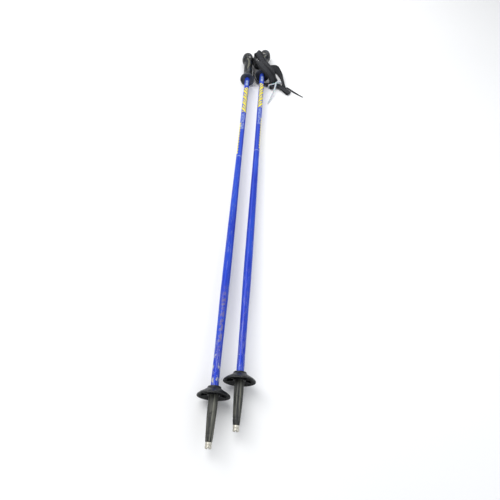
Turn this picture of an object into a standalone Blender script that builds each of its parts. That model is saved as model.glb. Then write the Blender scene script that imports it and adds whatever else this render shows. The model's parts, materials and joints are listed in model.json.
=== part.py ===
"""A pair of alpine ski poles lying side by side, their wrist straps bound with one cable tie.

Each pole is modelled upright in its own frame: +Z runs from the end of the steel tip to the top of the
grip, +X is the side where the wrist strap leaves the grip, and the strap screw lies along Y with its
head on the -Y side. An empty then lays each pole down on its basket rim and grip flange. The right pole
is rolled half a turn about its own length, so its strap leaves towards the left pole. The straps and
the cable tie are modelled as they lie, in the frame of the assembly. Metres, +Z up.
"""

import math

import bmesh
import bpy
from mathutils import Matrix, Vector

# Whole pole: heights are measured along the pole from the end of the tip.
POLE_LENGTH = 1.150
BASKET_RIM_HEIGHT = 0.0855
FLANGE_HEIGHT = 1.0205
PIN_HEIGHT = 1.120
CAP_SEAM_HEIGHT = 1.137
GAP = 0.0003

# Shaft: a swaged aluminium tube, as (height, outer radius).
SHAFT_WALL = 0.001
PLUG_LENGTH = 0.016
PLUG_HEAD_HEIGHT = 0.0018
SHAFT_PROFILE = (
    (0.045, 0.0053),
    (0.100, 0.00725),
    (0.150, 0.0073),
    (0.235, 0.0079),
    (0.275, 0.0085),
    (0.350, 0.0088),
    (0.440, 0.0086),
    (0.530, 0.0083),
    (0.640, 0.0077),
    (0.760, 0.0073),
    (1.106, 0.0071),
)

# Ferrule and steel tip.
FERRULE_TOP = 0.1035
FERRULE_SEAT = 0.084
FERRULE_BOTTOM = 0.0104
FERRULE_SEAT_RADIUS = 0.0089
FERRULE_END_RADIUS = 0.0060
# The ferrule's belly between its seat and its end, as (radius, height).
FERRULE_BELLY = ((0.0088, 0.0580), (0.0078, 0.0360), (0.0067, 0.0160))
TIP_RADIUS = 0.0057
TIP_STEM_RADIUS = 0.0030
TIP_STEM_TOP = 0.0262
TIP_NOTCH_WIDTH = 0.0022
TIP_NOTCH_DEPTH = 0.0020

# Basket.
BASKET_RADIUS = 0.0305
BASKET_HUB_RADIUS = 0.0125
BASKET_HUB_TOP = 0.1025
BASKET_RIBS = 6
BASKET_RIB_THICKNESS = 0.0016

# Grip.
FLANGE_RADIUS = 0.0212
FLANGE_LIP = 0.0012
FLANGE_HOLLOW_RADIUS = 0.0155
FLANGE_HOLLOW_DEPTH = 0.0028
GRIP_BORE_TOP = 1.1082
GRIP_SECTIONS = (
    # height, centre x, half width x, half depth y
    (FLANGE_HEIGHT, 0.0, 0.0204, 0.0204),
    (FLANGE_HEIGHT + FLANGE_LIP, 0.0, FLANGE_RADIUS, FLANGE_RADIUS),
    (1.0245, 0.0, 0.0211, 0.0211),
    (1.0280, 0.0, 0.0192, 0.0192),
    (1.0330, 0.0, 0.0162, 0.0160),
    (1.0400, -0.0001, 0.0137, 0.0134),
    (1.0520, -0.0003, 0.0124, 0.0121),
    (1.0680, -0.0006, 0.0128, 0.0124),
    (1.0840, -0.0009, 0.0126, 0.0122),
    (1.0960, -0.0012, 0.0121, 0.0120),
    (1.1030, -0.0018, 0.0124, 0.0128),
    (1.1085, -0.0032, 0.0142, 0.0145),
    (1.1135, -0.0046, 0.0160, 0.0155),
    (1.1210, -0.0052, 0.0168, 0.0160),
    (1.1300, -0.0052, 0.0167, 0.0158),
    (CAP_SEAM_HEIGHT, -0.0050, 0.0158, 0.0150),
    (1.1420, -0.0047, 0.0141, 0.0134),
    (1.1465, -0.0043, 0.0112, 0.0106),
    (1.1490, -0.0040, 0.0080, 0.0076),
    (POLE_LENGTH, -0.0038, 0.0060, 0.0057),
)
CAP_PEG_RADIUS = 0.004
CAP_PEG_LENGTH = 0.004
SLOT_HALF_LENGTH = 0.0070
SLOT_HALF_DEPTH = 0.0110
SLOT_BACK = -0.0064
INLAY_FLOOR = 0.0095
INLAY_PROUD = 0.0007
INLAY_SPINE = (
    # height, centre x, half width of the grey inlay
    (1.0615, -0.0030, 0.0006),
    (1.0660, -0.0022, 0.0020),
    (1.0760, -0.0004, 0.0029),
    (1.0880, 0.0008, 0.0031),
    (1.0980, 0.0002, 0.0029),
    (1.1050, -0.0022, 0.0027),
    (1.1095, -0.0056, 0.0020),
    (1.1115, -0.0078, 0.0006),
)

# Strap screw, bush and nut, all along Y through the head of the grip.
SCREW_RECESS_RADIUS = 0.0048
SCREW_RECESS_FLOOR = 0.0130
SCREW_HEAD_RADIUS = 0.0043
SCREW_HEAD_HEIGHT = 0.0014
SCREW_SHANK_RADIUS = 0.0024
SCREW_SHANK_END = 0.0142
SCREW_CROSS_REACH = 0.0026
SCREW_CROSS_HALF_WIDTH = 0.0005
SCREW_CROSS_DEPTH = 0.0008
NUT_RADIUS = 0.0042
NUT_HEIGHT = 0.0014
BUSH_RADIUS = 0.0035
BUSH_BORE_RADIUS = 0.0027
PAST_GRIP = 0.020

# Webbing and its slider buckles.
STRAP_WIDTH = 0.020
LOOP_WIDTH = 0.026
STRAP_THICKNESS = 0.0018
WRAP_RADIUS = 0.0048
SLIDER_LENGTH = 0.0050
SLIDER_DEPTH = 0.0060
SLIDER_HEIGHT = 0.0240
LEFT_SLIDER_START = 0.0122
RIGHT_SLIDER_START = 0.0272
TAIL_THICKNESS = 0.0012
TAIL_WIDTH = 0.007

# Cable tie: the middle of its loop, and the direction in which the straps run through it.
TIE_CENTRE = Vector((0.0866, 1.0337, 0.0073))
TIE_ALONG = Vector((0.51, -0.86, 0.0)).normalized()
TIE_ACROSS = Vector((0.86, 0.51, 0.0)).normalized()
TIE_WIDTH = 0.0048
TIE_THICKNESS = 0.0013
TIE_HALF_LENGTH = 0.0220
TIE_HALF_HEIGHT = 0.0059
TIE_CORNER = 0.0029
TIE_HEAD_PLACE = 0.0110
TIE_HEAD_SIZE = Vector((0.0084, 0.0080, 0.0058))
TIE_HEAD_ROUNDING = 0.0008

# How the poles lie: the tilt rests both the basket rim and the flange on the ground.
TILT = math.asin((BASKET_RADIUS - FLANGE_RADIUS) / (FLANGE_HEIGHT + FLANGE_LIP - BASKET_RIM_HEIGHT))
RIGHT_POLE_SHIFT = Vector((0.0443, 0.0303, 0.0))

UP = Vector((0.0, 0.0, 1.0))


def clear_scene():
    for obj in list(bpy.data.objects):
        bpy.data.objects.remove(obj, do_unlink=True)


def make_material(name, colour, roughness, metallic=0.0):
    material = bpy.data.materials.new(name)
    material.use_nodes = True
    shader = material.node_tree.nodes["Principled BSDF"]
    shader.inputs["Base Color"].default_value = (*colour, 1.0)
    shader.inputs["Roughness"].default_value = roughness
    shader.inputs["Metallic"].default_value = metallic
    return material


def make_materials():
    return {
        "shaft": make_material("blue_lacquer", (0.05, 0.09, 0.55), 0.30, 0.5),
        "ferrule": make_material("grey_plastic", (0.13, 0.135, 0.14), 0.5),
        "tip": make_material("worn_steel", (0.55, 0.53, 0.48), 0.35, 1.0),
        "basket": make_material("black_plastic", (0.025, 0.027, 0.03), 0.45),
        "grip": make_material("black_rubber", (0.035, 0.037, 0.04), 0.6),
        "cap": make_material("cap_plastic", (0.06, 0.06, 0.058), 0.5),
        "inlay": make_material("grey_inlay", (0.26, 0.26, 0.22), 0.55),
        "screw": make_material("zinc_steel", (0.6, 0.6, 0.6), 0.35, 1.0),
        "bush": make_material("bush_plastic", (0.3, 0.3, 0.3), 0.5),
        "strap": make_material("webbing", (0.04, 0.042, 0.045), 0.9),
        "slider": make_material("slider_plastic", (0.02, 0.02, 0.022), 0.4),
        "tie": make_material("clear_nylon", (0.72, 0.8, 0.82), 0.35),
    }


class Workshop:
    """Collections, materials and the empty that the next object is parented to."""

    def __init__(self):
        self.parts = bpy.data.collections.new("ski_pole_pair")
        self.cutters = bpy.data.collections.new("cutters")
        for collection in (self.parts, self.cutters):
            bpy.context.scene.collection.children.link(collection)
        self.cutters.hide_render = True
        self.materials = make_materials()
        self.frame = None

    def add(self, obj, material=None):
        if material is None:
            self.cutters.objects.link(obj)
            obj.hide_render = True
            obj.display_type = "WIRE"
        else:
            self.parts.objects.link(obj)
            obj.data.materials.append(self.materials[material])
        obj.parent = self.frame
        return obj


def object_from_bmesh(name, mesh_data):
    bmesh.ops.recalc_face_normals(mesh_data, faces=mesh_data.faces)
    mesh = bpy.data.meshes.new(name)
    mesh_data.to_mesh(mesh)
    mesh_data.free()
    mesh.shade_smooth()
    mesh.set_sharp_from_angle(angle=math.radians(35))
    return bpy.data.objects.new(name, mesh)


def turned(name, profile, steps):
    """A turned shape about Z. The profile holds (radius, height) points down the outer side; one that
    doesn't start on the axis is closed into a ring."""
    mesh_data = bmesh.new()
    points = [mesh_data.verts.new((radius, 0.0, height)) for radius, height in profile]
    for first, second in zip(points, points[1:]):
        mesh_data.edges.new((first, second))
    if profile[0][0] > 0.0:
        mesh_data.edges.new((points[-1], points[0]))
    mesh = bpy.data.meshes.new(name)
    mesh_data.to_mesh(mesh)
    mesh_data.free()
    obj = bpy.data.objects.new(name, mesh)
    screw = obj.modifiers.new("Turn", "SCREW")
    screw.axis = "Z"
    screw.steps = steps
    screw.render_steps = steps
    screw.use_merge_vertices = True
    screw.merge_threshold = 0.00001
    screw.use_smooth_shade = True
    return obj


def cylinder(name, radius, start, end, steps=16):
    """A cylinder of this radius between two points."""
    start, end = Vector(start), Vector(end)
    length = (end - start).length
    mesh_data = bmesh.new()
    bmesh.ops.create_cone(
        mesh_data, cap_ends=True, segments=steps, radius1=radius, radius2=radius, depth=length
    )
    turn = UP.rotation_difference(end - start).to_matrix().to_4x4()
    mesh_data.transform(Matrix.Translation((start + end) / 2) @ turn)
    return object_from_bmesh(name, mesh_data)


def box(name, low, high):
    """A box between two corners."""
    low, high = Vector(low), Vector(high)
    mesh_data = bmesh.new()
    bmesh.ops.create_cube(mesh_data, size=1.0)
    size = high - low
    mesh_data.transform(Matrix.Translation((low + high) / 2) @ Matrix.Diagonal((*size, 1.0)))
    return object_from_bmesh(name, mesh_data)


def loft(name, rings, closed=False):
    """A solid through rings of the same number of points, capped at both ends or joined into a loop."""
    mesh_data = bmesh.new()
    rows = [[mesh_data.verts.new(point) for point in ring] for ring in rings]
    pairs = list(zip(rows, rows[1:]))
    if closed:
        pairs.append((rows[-1], rows[0]))
    for lower, upper in pairs:
        for index in range(len(lower)):
            after = (index + 1) % len(lower)
            mesh_data.faces.new((lower[index], lower[after], upper[after], upper[index]))
    if not closed:
        mesh_data.faces.new(rows[0][::-1])
        mesh_data.faces.new(rows[-1])
    return object_from_bmesh(name, mesh_data)


def plate(name, outline, half_thickness):
    """A flat outline in XY, extruded both ways along Z: a filled 2D curve made a mesh."""
    curve = bpy.data.curves.new(name, "CURVE")
    curve.dimensions = "2D"
    curve.fill_mode = "BOTH"
    curve.extrude = half_thickness
    spline = curve.splines.new("POLY")
    spline.points.add(len(outline) - 1)
    for point, (x, y) in zip(spline.points, outline):
        point.co = (x, y, 0.0, 1.0)
    spline.use_cyclic_u = True
    flat = bpy.data.objects.new(name, curve)
    bpy.context.scene.collection.objects.link(flat)
    graph = bpy.context.evaluated_depsgraph_get()
    mesh = bpy.data.meshes.new_from_object(flat.evaluated_get(graph))
    bpy.data.objects.remove(flat, do_unlink=True)
    mesh_data = bmesh.new()
    mesh_data.from_mesh(mesh)
    bmesh.ops.remove_doubles(mesh_data, verts=mesh_data.verts, dist=0.00001)
    return object_from_bmesh(name, mesh_data)


def move_mesh(obj, matrix):
    obj.data.transform(matrix)
    return obj


def boolean(obj, other, operation="DIFFERENCE"):
    modifier = obj.modifiers.new(f"{operation.title()} {other.name}", "BOOLEAN")
    modifier.operation = operation
    modifier.solver = "EXACT"
    modifier.object = other
    return obj


def read_profile(profile, height):
    """The value at this height, read along straight lines between (height, value) points."""
    for (low, first), (high, second) in zip(profile, profile[1:]):
        if height <= high:
            return first + (second - first) * (height - low) / (high - low)
    return profile[-1][1]


# ---- Parts of one pole, upright ----


def make_shaft(shop, side):
    outer = [(radius, height) for height, radius in reversed(SHAFT_PROFILE)]
    inner = [(radius - SHAFT_WALL, height) for height, radius in SHAFT_PROFILE]
    shop.add(turned(f"{side}_shaft", outer + inner, 20), "shaft")


def make_ferrule(shop, side):
    shaft_end = SHAFT_PROFILE[0][0]
    bore_floor = shaft_end - GAP
    profile = [
        (0.0, bore_floor),
        (SHAFT_PROFILE[0][1] + GAP, bore_floor),
        (read_profile(SHAFT_PROFILE, SHAFT_PROFILE[1][0]) + GAP, SHAFT_PROFILE[1][0]),
        (read_profile(SHAFT_PROFILE, FERRULE_TOP) + GAP, FERRULE_TOP),
        (FERRULE_SEAT_RADIUS - 0.0005, FERRULE_TOP),
        (FERRULE_SEAT_RADIUS, FERRULE_TOP - 0.0005),
        (FERRULE_SEAT_RADIUS, FERRULE_SEAT),
        *FERRULE_BELLY,
        (FERRULE_END_RADIUS + 0.0002, FERRULE_BOTTOM + 0.0006),
        (FERRULE_END_RADIUS - 0.0003, FERRULE_BOTTOM),
        (TIP_STEM_RADIUS + GAP, FERRULE_BOTTOM),
        (TIP_STEM_RADIUS + GAP, TIP_STEM_TOP + GAP),
        (0.0, TIP_STEM_TOP + GAP),
    ]
    shop.add(turned(f"{side}_ferrule", profile, 20), "ferrule")


def make_tip(shop, side):
    shoulder = FERRULE_BOTTOM - GAP
    profile = [
        (0.0, TIP_STEM_TOP),
        (TIP_STEM_RADIUS, TIP_STEM_TOP),
        (TIP_STEM_RADIUS, shoulder),
        (TIP_RADIUS, shoulder),
        (TIP_RADIUS, 0.0008),
        (TIP_RADIUS - 0.0004, 0.0),
        (TIP_RADIUS - 0.0014, 0.0),
        (0.0, 0.0040),
    ]
    tip = shop.add(turned(f"{side}_tip", profile, 16), "tip")
    reach = 2 * TIP_RADIUS
    half = TIP_NOTCH_WIDTH / 2
    for axis, low, high in (
        ("x", (-reach, -half, -0.001), (reach, half, TIP_NOTCH_DEPTH)),
        ("y", (-half, -reach, -0.001), (half, reach, TIP_NOTCH_DEPTH)),
    ):
        boolean(tip, shop.add(box(f"{side}_tip_notch_{axis}", low, high)))


def make_basket(shop, side):
    bore = FERRULE_SEAT_RADIUS + GAP
    profile = [
        (bore, BASKET_HUB_TOP),
        (BASKET_HUB_RADIUS - 0.0008, BASKET_HUB_TOP),
        (BASKET_HUB_RADIUS, BASKET_HUB_TOP - 0.0008),
        (BASKET_HUB_RADIUS + 0.0004, 0.0990),
        (0.0190, 0.0950),
        (0.0270, 0.0903),
        (0.0297, 0.0877),
        (BASKET_RADIUS, BASKET_RIM_HEIGHT + 0.0008),
        (BASKET_RADIUS, BASKET_RIM_HEIGHT - 0.0005),
        (0.0298, 0.0846),
        (0.0290, 0.0852),
        (0.0262, 0.0882),
        (0.0186, 0.0928),
        (0.0132, 0.0958),
        (0.0118, 0.0945),
        (0.0118, 0.0868),
        (bore, 0.0868),
    ]
    basket = shop.add(turned(f"{side}_basket", profile, 36), "basket")
    outline = ((0.0112, 0.0885), (0.0245, 0.0885), (0.0262, 0.0893), (0.0187, 0.0938), (0.0112, 0.0975))
    upright = Matrix.Rotation(math.radians(90), 4, "X")
    for index in range(BASKET_RIBS):
        rib = plate(f"{side}_basket_rib_{index + 1}", outline, BASKET_RIB_THICKNESS / 2)
        turn = Matrix.Rotation(math.tau * (index + 0.5) / BASKET_RIBS, 4, "Z")
        move_mesh(rib, turn @ upright)
        boolean(basket, shop.add(rib), "UNION")


def grip_ring(section, grow=0.0, count=24):
    height, centre_x, half_x, half_y = section
    turns = [math.tau * index / count for index in range(count)]
    return [
        (centre_x + (half_x + grow) * math.cos(turn), (half_y + grow) * math.sin(turn), height)
        for turn in turns
    ]


def inlay_outline(grow=0.0):
    """Both edges of the inlay as (x, height), grown sideways and at its pointed ends."""
    low, high = INLAY_SPINE[0][0], INLAY_SPINE[-1][0]
    middle = (low + high) / 2
    stretch = 1.0 + grow / (middle - low)
    heights = [middle + (height - middle) * stretch for height, _, _ in INLAY_SPINE]
    right = [(x + half + grow, height) for height, (_, x, half) in zip(heights, INLAY_SPINE)]
    left = [(x - half - grow, height) for height, (_, x, half) in zip(heights, INLAY_SPINE)]
    return right + left[::-1]


def inlay_prism(name, facing, grow, floor):
    """The inlay's outline as a prism from this depth out past the grip's surface, on the facing side."""
    prism = plate(name, inlay_outline(grow), (PAST_GRIP - floor) / 2)
    # The outline's height runs up the pole, and its thickness lies along Y.
    upright = Matrix.Rotation(math.radians(90), 4, "X")
    return move_mesh(prism, Matrix.Translation((0.0, facing * (PAST_GRIP + floor) / 2, 0.0)) @ upright)


def make_grip(shop, side):
    body_sections = [section for section in GRIP_SECTIONS if section[0] <= CAP_SEAM_HEIGHT]
    grip = shop.add(loft(f"{side}_grip", [grip_ring(section) for section in body_sections]), "grip")
    shaft_top = SHAFT_PROFILE[-1][1]
    below = FLANGE_HEIGHT - 0.001
    hollow_top = FLANGE_HEIGHT + FLANGE_HOLLOW_DEPTH
    underside = [
        (0.0, hollow_top),
        (FLANGE_HOLLOW_RADIUS, hollow_top),
        (FLANGE_HOLLOW_RADIUS + 0.0025, below),
        (0.0, below),
    ]
    cutters = [
        turned(f"{side}_cut_underside", underside, 24),
        cylinder(
            f"{side}_cut_bore", shaft_top + GAP, (0, 0, below), (0, 0, GRIP_BORE_TOP), 20
        ),
        box(
            f"{side}_cut_slot",
            (SLOT_BACK, -SLOT_HALF_DEPTH, PIN_HEIGHT - SLOT_HALF_LENGTH),
            (PAST_GRIP, SLOT_HALF_DEPTH, PIN_HEIGHT + SLOT_HALF_LENGTH),
        ),
        cylinder(
            f"{side}_cut_screw",
            SCREW_SHANK_RADIUS + GAP,
            (0, -PAST_GRIP, PIN_HEIGHT),
            (0, PAST_GRIP, PIN_HEIGHT),
        ),
        cylinder(
            f"{side}_cut_peg",
            CAP_PEG_RADIUS + GAP,
            (GRIP_SECTIONS[-1][1], 0, CAP_SEAM_HEIGHT - CAP_PEG_LENGTH - GAP),
            (GRIP_SECTIONS[-1][1], 0, CAP_SEAM_HEIGHT + 0.001),
        ),
    ]
    for facing, place in ((-1, "head"), (1, "nut")):
        cutters.append(
            cylinder(
                f"{side}_cut_{place}_recess",
                SCREW_RECESS_RADIUS,
                (0, facing * SCREW_RECESS_FLOOR, PIN_HEIGHT),
                (0, facing * PAST_GRIP, PIN_HEIGHT),
            )
        )
        cutters.append(inlay_prism(f"{side}_cut_{place}_inlay", facing, GAP, INLAY_FLOOR - GAP))
    for cutter in cutters:
        boolean(grip, shop.add(cutter))


def make_cap(shop, side):
    seam = (CAP_SEAM_HEIGHT + GAP, *GRIP_SECTIONS[-5][1:])
    sections = [seam] + list(GRIP_SECTIONS[-4:])
    cap = shop.add(loft(f"{side}_grip_cap", [grip_ring(section) for section in sections]), "cap")
    centre_x = GRIP_SECTIONS[-1][1]
    peg = cylinder(
        f"{side}_cap_peg",
        CAP_PEG_RADIUS,
        (centre_x, 0, CAP_SEAM_HEIGHT - CAP_PEG_LENGTH),
        (centre_x, 0, CAP_SEAM_HEIGHT + 0.004),
    )
    boolean(cap, shop.add(peg), "UNION")


def make_inlays(shop, side):
    sections = [section for section in GRIP_SECTIONS if 1.05 < section[0] < CAP_SEAM_HEIGHT]
    rings = [grip_ring(section, INLAY_PROUD) for section in sections]
    for facing, place in ((-1, "screw_side"), (1, "nut_side")):
        inlay = inlay_prism(f"{side}_grip_inlay_{place}", facing, 0.0, INLAY_FLOOR)
        shop.add(inlay, "inlay")
        skin = shop.add(loft(f"{side}_skin_{place}", rings))
        boolean(inlay, skin, "INTERSECT")


def make_strap_fixing(shop, side):
    """The screw, its bush inside the strap slot, and the nut on the far side."""
    seat = SCREW_RECESS_FLOOR + GAP
    top = -seat - SCREW_HEAD_HEIGHT
    head = cylinder(
        f"{side}_strap_screw", SCREW_HEAD_RADIUS, (0, -seat, PIN_HEIGHT), (0, top, PIN_HEIGHT)
    )
    shop.add(head, "screw")
    shank = cylinder(
        f"{side}_screw_shank",
        SCREW_SHANK_RADIUS,
        (0, -seat - SCREW_HEAD_HEIGHT / 4, PIN_HEIGHT),
        (0, SCREW_SHANK_END, PIN_HEIGHT),
        12,
    )
    boolean(head, shop.add(shank), "UNION")
    long, short = SCREW_CROSS_REACH, SCREW_CROSS_HALF_WIDTH
    for axis, (reach_x, reach_z) in (("x", (long, short)), ("z", (short, long))):
        cutter = box(
            f"{side}_screw_cross_{axis}",
            (-reach_x, -PAST_GRIP, PIN_HEIGHT - reach_z),
            (reach_x, top + SCREW_CROSS_DEPTH, PIN_HEIGHT + reach_z),
        )
        boolean(head, shop.add(cutter))
    nut = cylinder(
        f"{side}_strap_nut", NUT_RADIUS, (0, seat, PIN_HEIGHT), (0, seat + NUT_HEIGHT, PIN_HEIGHT), 6
    )
    shop.add(nut, "screw")
    bush_end = SLOT_HALF_DEPTH - GAP
    bush = cylinder(
        f"{side}_strap_bush", BUSH_RADIUS, (0, -bush_end, PIN_HEIGHT), (0, bush_end, PIN_HEIGHT)
    )
    shop.add(bush, "bush")
    for obj, radius, place in ((nut, SCREW_SHANK_RADIUS + GAP, "nut"), (bush, BUSH_BORE_RADIUS, "bush")):
        bore = cylinder(
            f"{side}_cut_{place}_bore", radius, (0, -PAST_GRIP, PIN_HEIGHT), (0, PAST_GRIP, PIN_HEIGHT), 12
        )
        boolean(obj, shop.add(bore))


def make_shaft_plug(shop, side):
    shaft_height, shaft_radius = SHAFT_PROFILE[-1]
    stem = shaft_radius - SHAFT_WALL - GAP
    head_top = shaft_height + PLUG_HEAD_HEIGHT
    foot = shaft_height - PLUG_LENGTH
    profile = [
        (0.0, head_top),
        (shaft_radius - GAP, head_top),
        (shaft_radius - GAP, shaft_height + GAP),
        (stem, shaft_height + GAP),
        (stem, foot + 0.002),
        (stem - 0.0008, foot),
        (0.0, foot),
    ]
    shop.add(turned(f"{side}_shaft_plug", profile, 16), "bush")


def make_pole(shop, side):
    make_shaft(shop, side)
    make_ferrule(shop, side)
    make_tip(shop, side)
    make_basket(shop, side)
    make_grip(shop, side)
    make_cap(shop, side)
    make_inlays(shop, side)
    make_strap_fixing(shop, side)
    make_shaft_plug(shop, side)


# ---- Straps, sliders and cable tie, as they lie ----


def smooth_path(stations, spacing):
    """A Catmull-Rom curve through the stations, each a point, a width direction and a width."""
    padded = [stations[0]] + list(stations) + [stations[-1]]
    path = []
    for before, start, end, after in zip(padded, padded[1:], padded[2:], padded[3:]):
        steps = max(1, round((end[0] - start[0]).length / spacing))
        for step in range(steps):
            t = step / steps
            made = [
                0.5
                * (
                    2 * start[part]
                    + (end[part] - before[part]) * t
                    + (2 * before[part] - 5 * start[part] + 4 * end[part] - after[part]) * t**2
                    + (3 * start[part] - before[part] - 3 * end[part] + after[part]) * t**3
                )
                for part in range(3)
            ]
            path.append(made)
    path.append(stations[-1])
    return path


def ribbon_rings(path, thickness, closed=False):
    """Rectangular sections square to the path, each as wide as its station asks."""
    rings = []
    for index, (point, across, width) in enumerate(path):
        if closed:
            ahead = path[(index + 1) % len(path)][0]
            behind = path[index - 1][0]
        else:
            ahead = path[min(index + 1, len(path) - 1)][0]
            behind = path[max(index - 1, 0)][0]
        along = (ahead - behind).normalized()
        side = (across - along * across.dot(along)).normalized() * (width / 2)
        depth = along.cross(side).normalized() * (thickness / 2)
        rings.append([point + side + depth, point - side + depth, point - side - depth, point + side - depth])
    return rings


def ribbon(name, stations, thickness, spacing=0.006):
    return loft(name, ribbon_rings(smooth_path(stations, spacing), thickness))


def station(x, y, z, across, width=STRAP_WIDTH):
    return Vector((x, y, z)), Vector(across).normalized(), width


def tie_place(along, across, height):
    """A point given by its distances along the straps and across them from the middle of the tie."""
    point = TIE_CENTRE + TIE_ALONG * along + TIE_ACROSS * across
    return Vector((point.x, point.y, height))


def tie_station(along, across, height, width):
    """A strap station near the tie, lying flat."""
    return tie_place(along, across, height), TIE_ACROSS.copy(), width


def wrap(pin, start_degrees, end_degrees, count=9):
    """Stations round the strap bush, the webbing standing on edge."""
    span = end_degrees - start_degrees
    turns = [math.radians(start_degrees + span * index / (count - 1)) for index in range(count)]
    return [
        (pin + Vector((math.cos(turn), math.sin(turn), 0.0)) * WRAP_RADIUS, UP.copy(), STRAP_WIDTH)
        for turn in turns
    ]


def hairpin(end, ahead, across, top, bottom, width, count=5):
    """Stations where a flat strap, heading ahead, folds back under itself at this end point."""
    middle, radius = (top + bottom) / 2, (top - bottom) / 2
    ahead = Vector((*ahead, 0.0)).normalized()
    turns = [math.pi / 2 - math.pi * index / (count - 1) for index in range(count)]
    centre = Vector((*end, middle))
    places = [centre + (ahead * math.cos(turn) + UP * math.sin(turn)) * radius for turn in turns]
    return [(place, Vector((*across, 0.0)).normalized(), width) for place in places]


def strap_pin(shift):
    """The middle of a strap bush in the frame of the assembly."""
    height = BASKET_RADIUS * math.cos(TILT) + (BASKET_RIM_HEIGHT - PIN_HEIGHT) * math.sin(TILT)
    return Vector((0.0, PIN_HEIGHT * math.cos(TILT), height)) + shift


def make_left_strap(shop):
    """From the left grip over the right grip's neck, through the tie, and back under the right shaft."""
    pin = strap_pin(Vector((0, 0, 0)))
    upper = pin.y + WRAP_RADIUS
    lower = pin.y - WRAP_RADIUS
    height = pin.z
    out = [
        station(0.0120, upper, height, (0, 0, 1)),
        station(0.0190, upper, height, (0, 0, 1)),
        station(0.0212, upper, height, (0, 0, 1)),
        station(0.0228, upper - 0.0010, height + 0.0014, (-0.05, 0.1, 1)),
        station(0.0216, 1.1150, 0.0288, (-0.25, 0.3, 0.92)),
        station(0.0190, 1.1060, 0.0368, (-0.4, 0.2, 0.9)),
        station(0.0200, 1.0965, 0.0423, (-0.7, 0.0, 0.7), 0.021),
        station(0.0250, 1.0875, 0.0450, (-0.88, -0.25, 0.35), 0.023),
        station(0.0350, 1.0733, 0.0462, (-0.82, -0.52, 0.0), LOOP_WIDTH),
        station(0.0455, 1.0560, 0.0472, (-0.74, -0.62, -0.16), LOOP_WIDTH),
        station(0.0600, 1.0430, 0.0425, (-0.70, -0.68, -0.1), LOOP_WIDTH),
        station(0.0735, 1.0390, 0.0280, (-0.75, -0.65, 0.0), 0.025),
        station(0.0780, 1.0360, 0.0165, (-0.80, -0.6, 0.0), 0.023),
        (tie_place(-0.0050, -0.0088, 0.0104), -TIE_ACROSS, 0.022),
        (tie_place(0.0020, -0.0090, 0.0094), -TIE_ACROSS, 0.021),
    ]
    end = tie_place(0.0070, -0.0092, 0.0)
    fold = hairpin(end.xy, TIE_ALONG.xy, -TIE_ACROSS.xy, 0.0090, 0.0034, 0.020)
    under = [(tie_place(along, -0.0088, 0.0034), -TIE_ACROSS, 0.019) for along in (0.002, -0.004)]
    back = [
        station(0.0690, 1.0370, 0.0040, (-0.3, -0.93, 0.15)),
        station(0.0570, 1.0368, 0.0052, (-0.15, -0.9, 0.35)),
        station(0.0440, 1.0380, 0.0064, (-0.25, -0.85, 0.45)),
        station(0.0330, 1.0415, 0.0070, (-0.4, -0.75, 0.5)),
        station(0.0240, 1.0510, 0.0095, (-0.45, -0.4, 0.8)),
        station(0.0195, 1.0620, 0.0135, (-0.1, -0.15, 0.98)),
        station(0.0176, 1.0760, 0.0155, (0, 0, 1)),
        station(0.0172, 1.0960, 0.0180, (0, 0, 1)),
        station(0.0166, 1.1080, height - 0.0004, (0, 0, 1)),
        station(0.0146, lower - 0.0018, height, (0, 0, 1)),
        station(0.0110, lower, height, (0, 0, 1)),
    ]
    # The wrap starts where the webbing returns from the tie.
    stations = wrap(pin, 270, 90) + out + fold + under + back
    shop.add(ribbon("left_strap", stations, STRAP_THICKNESS), "strap")


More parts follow.
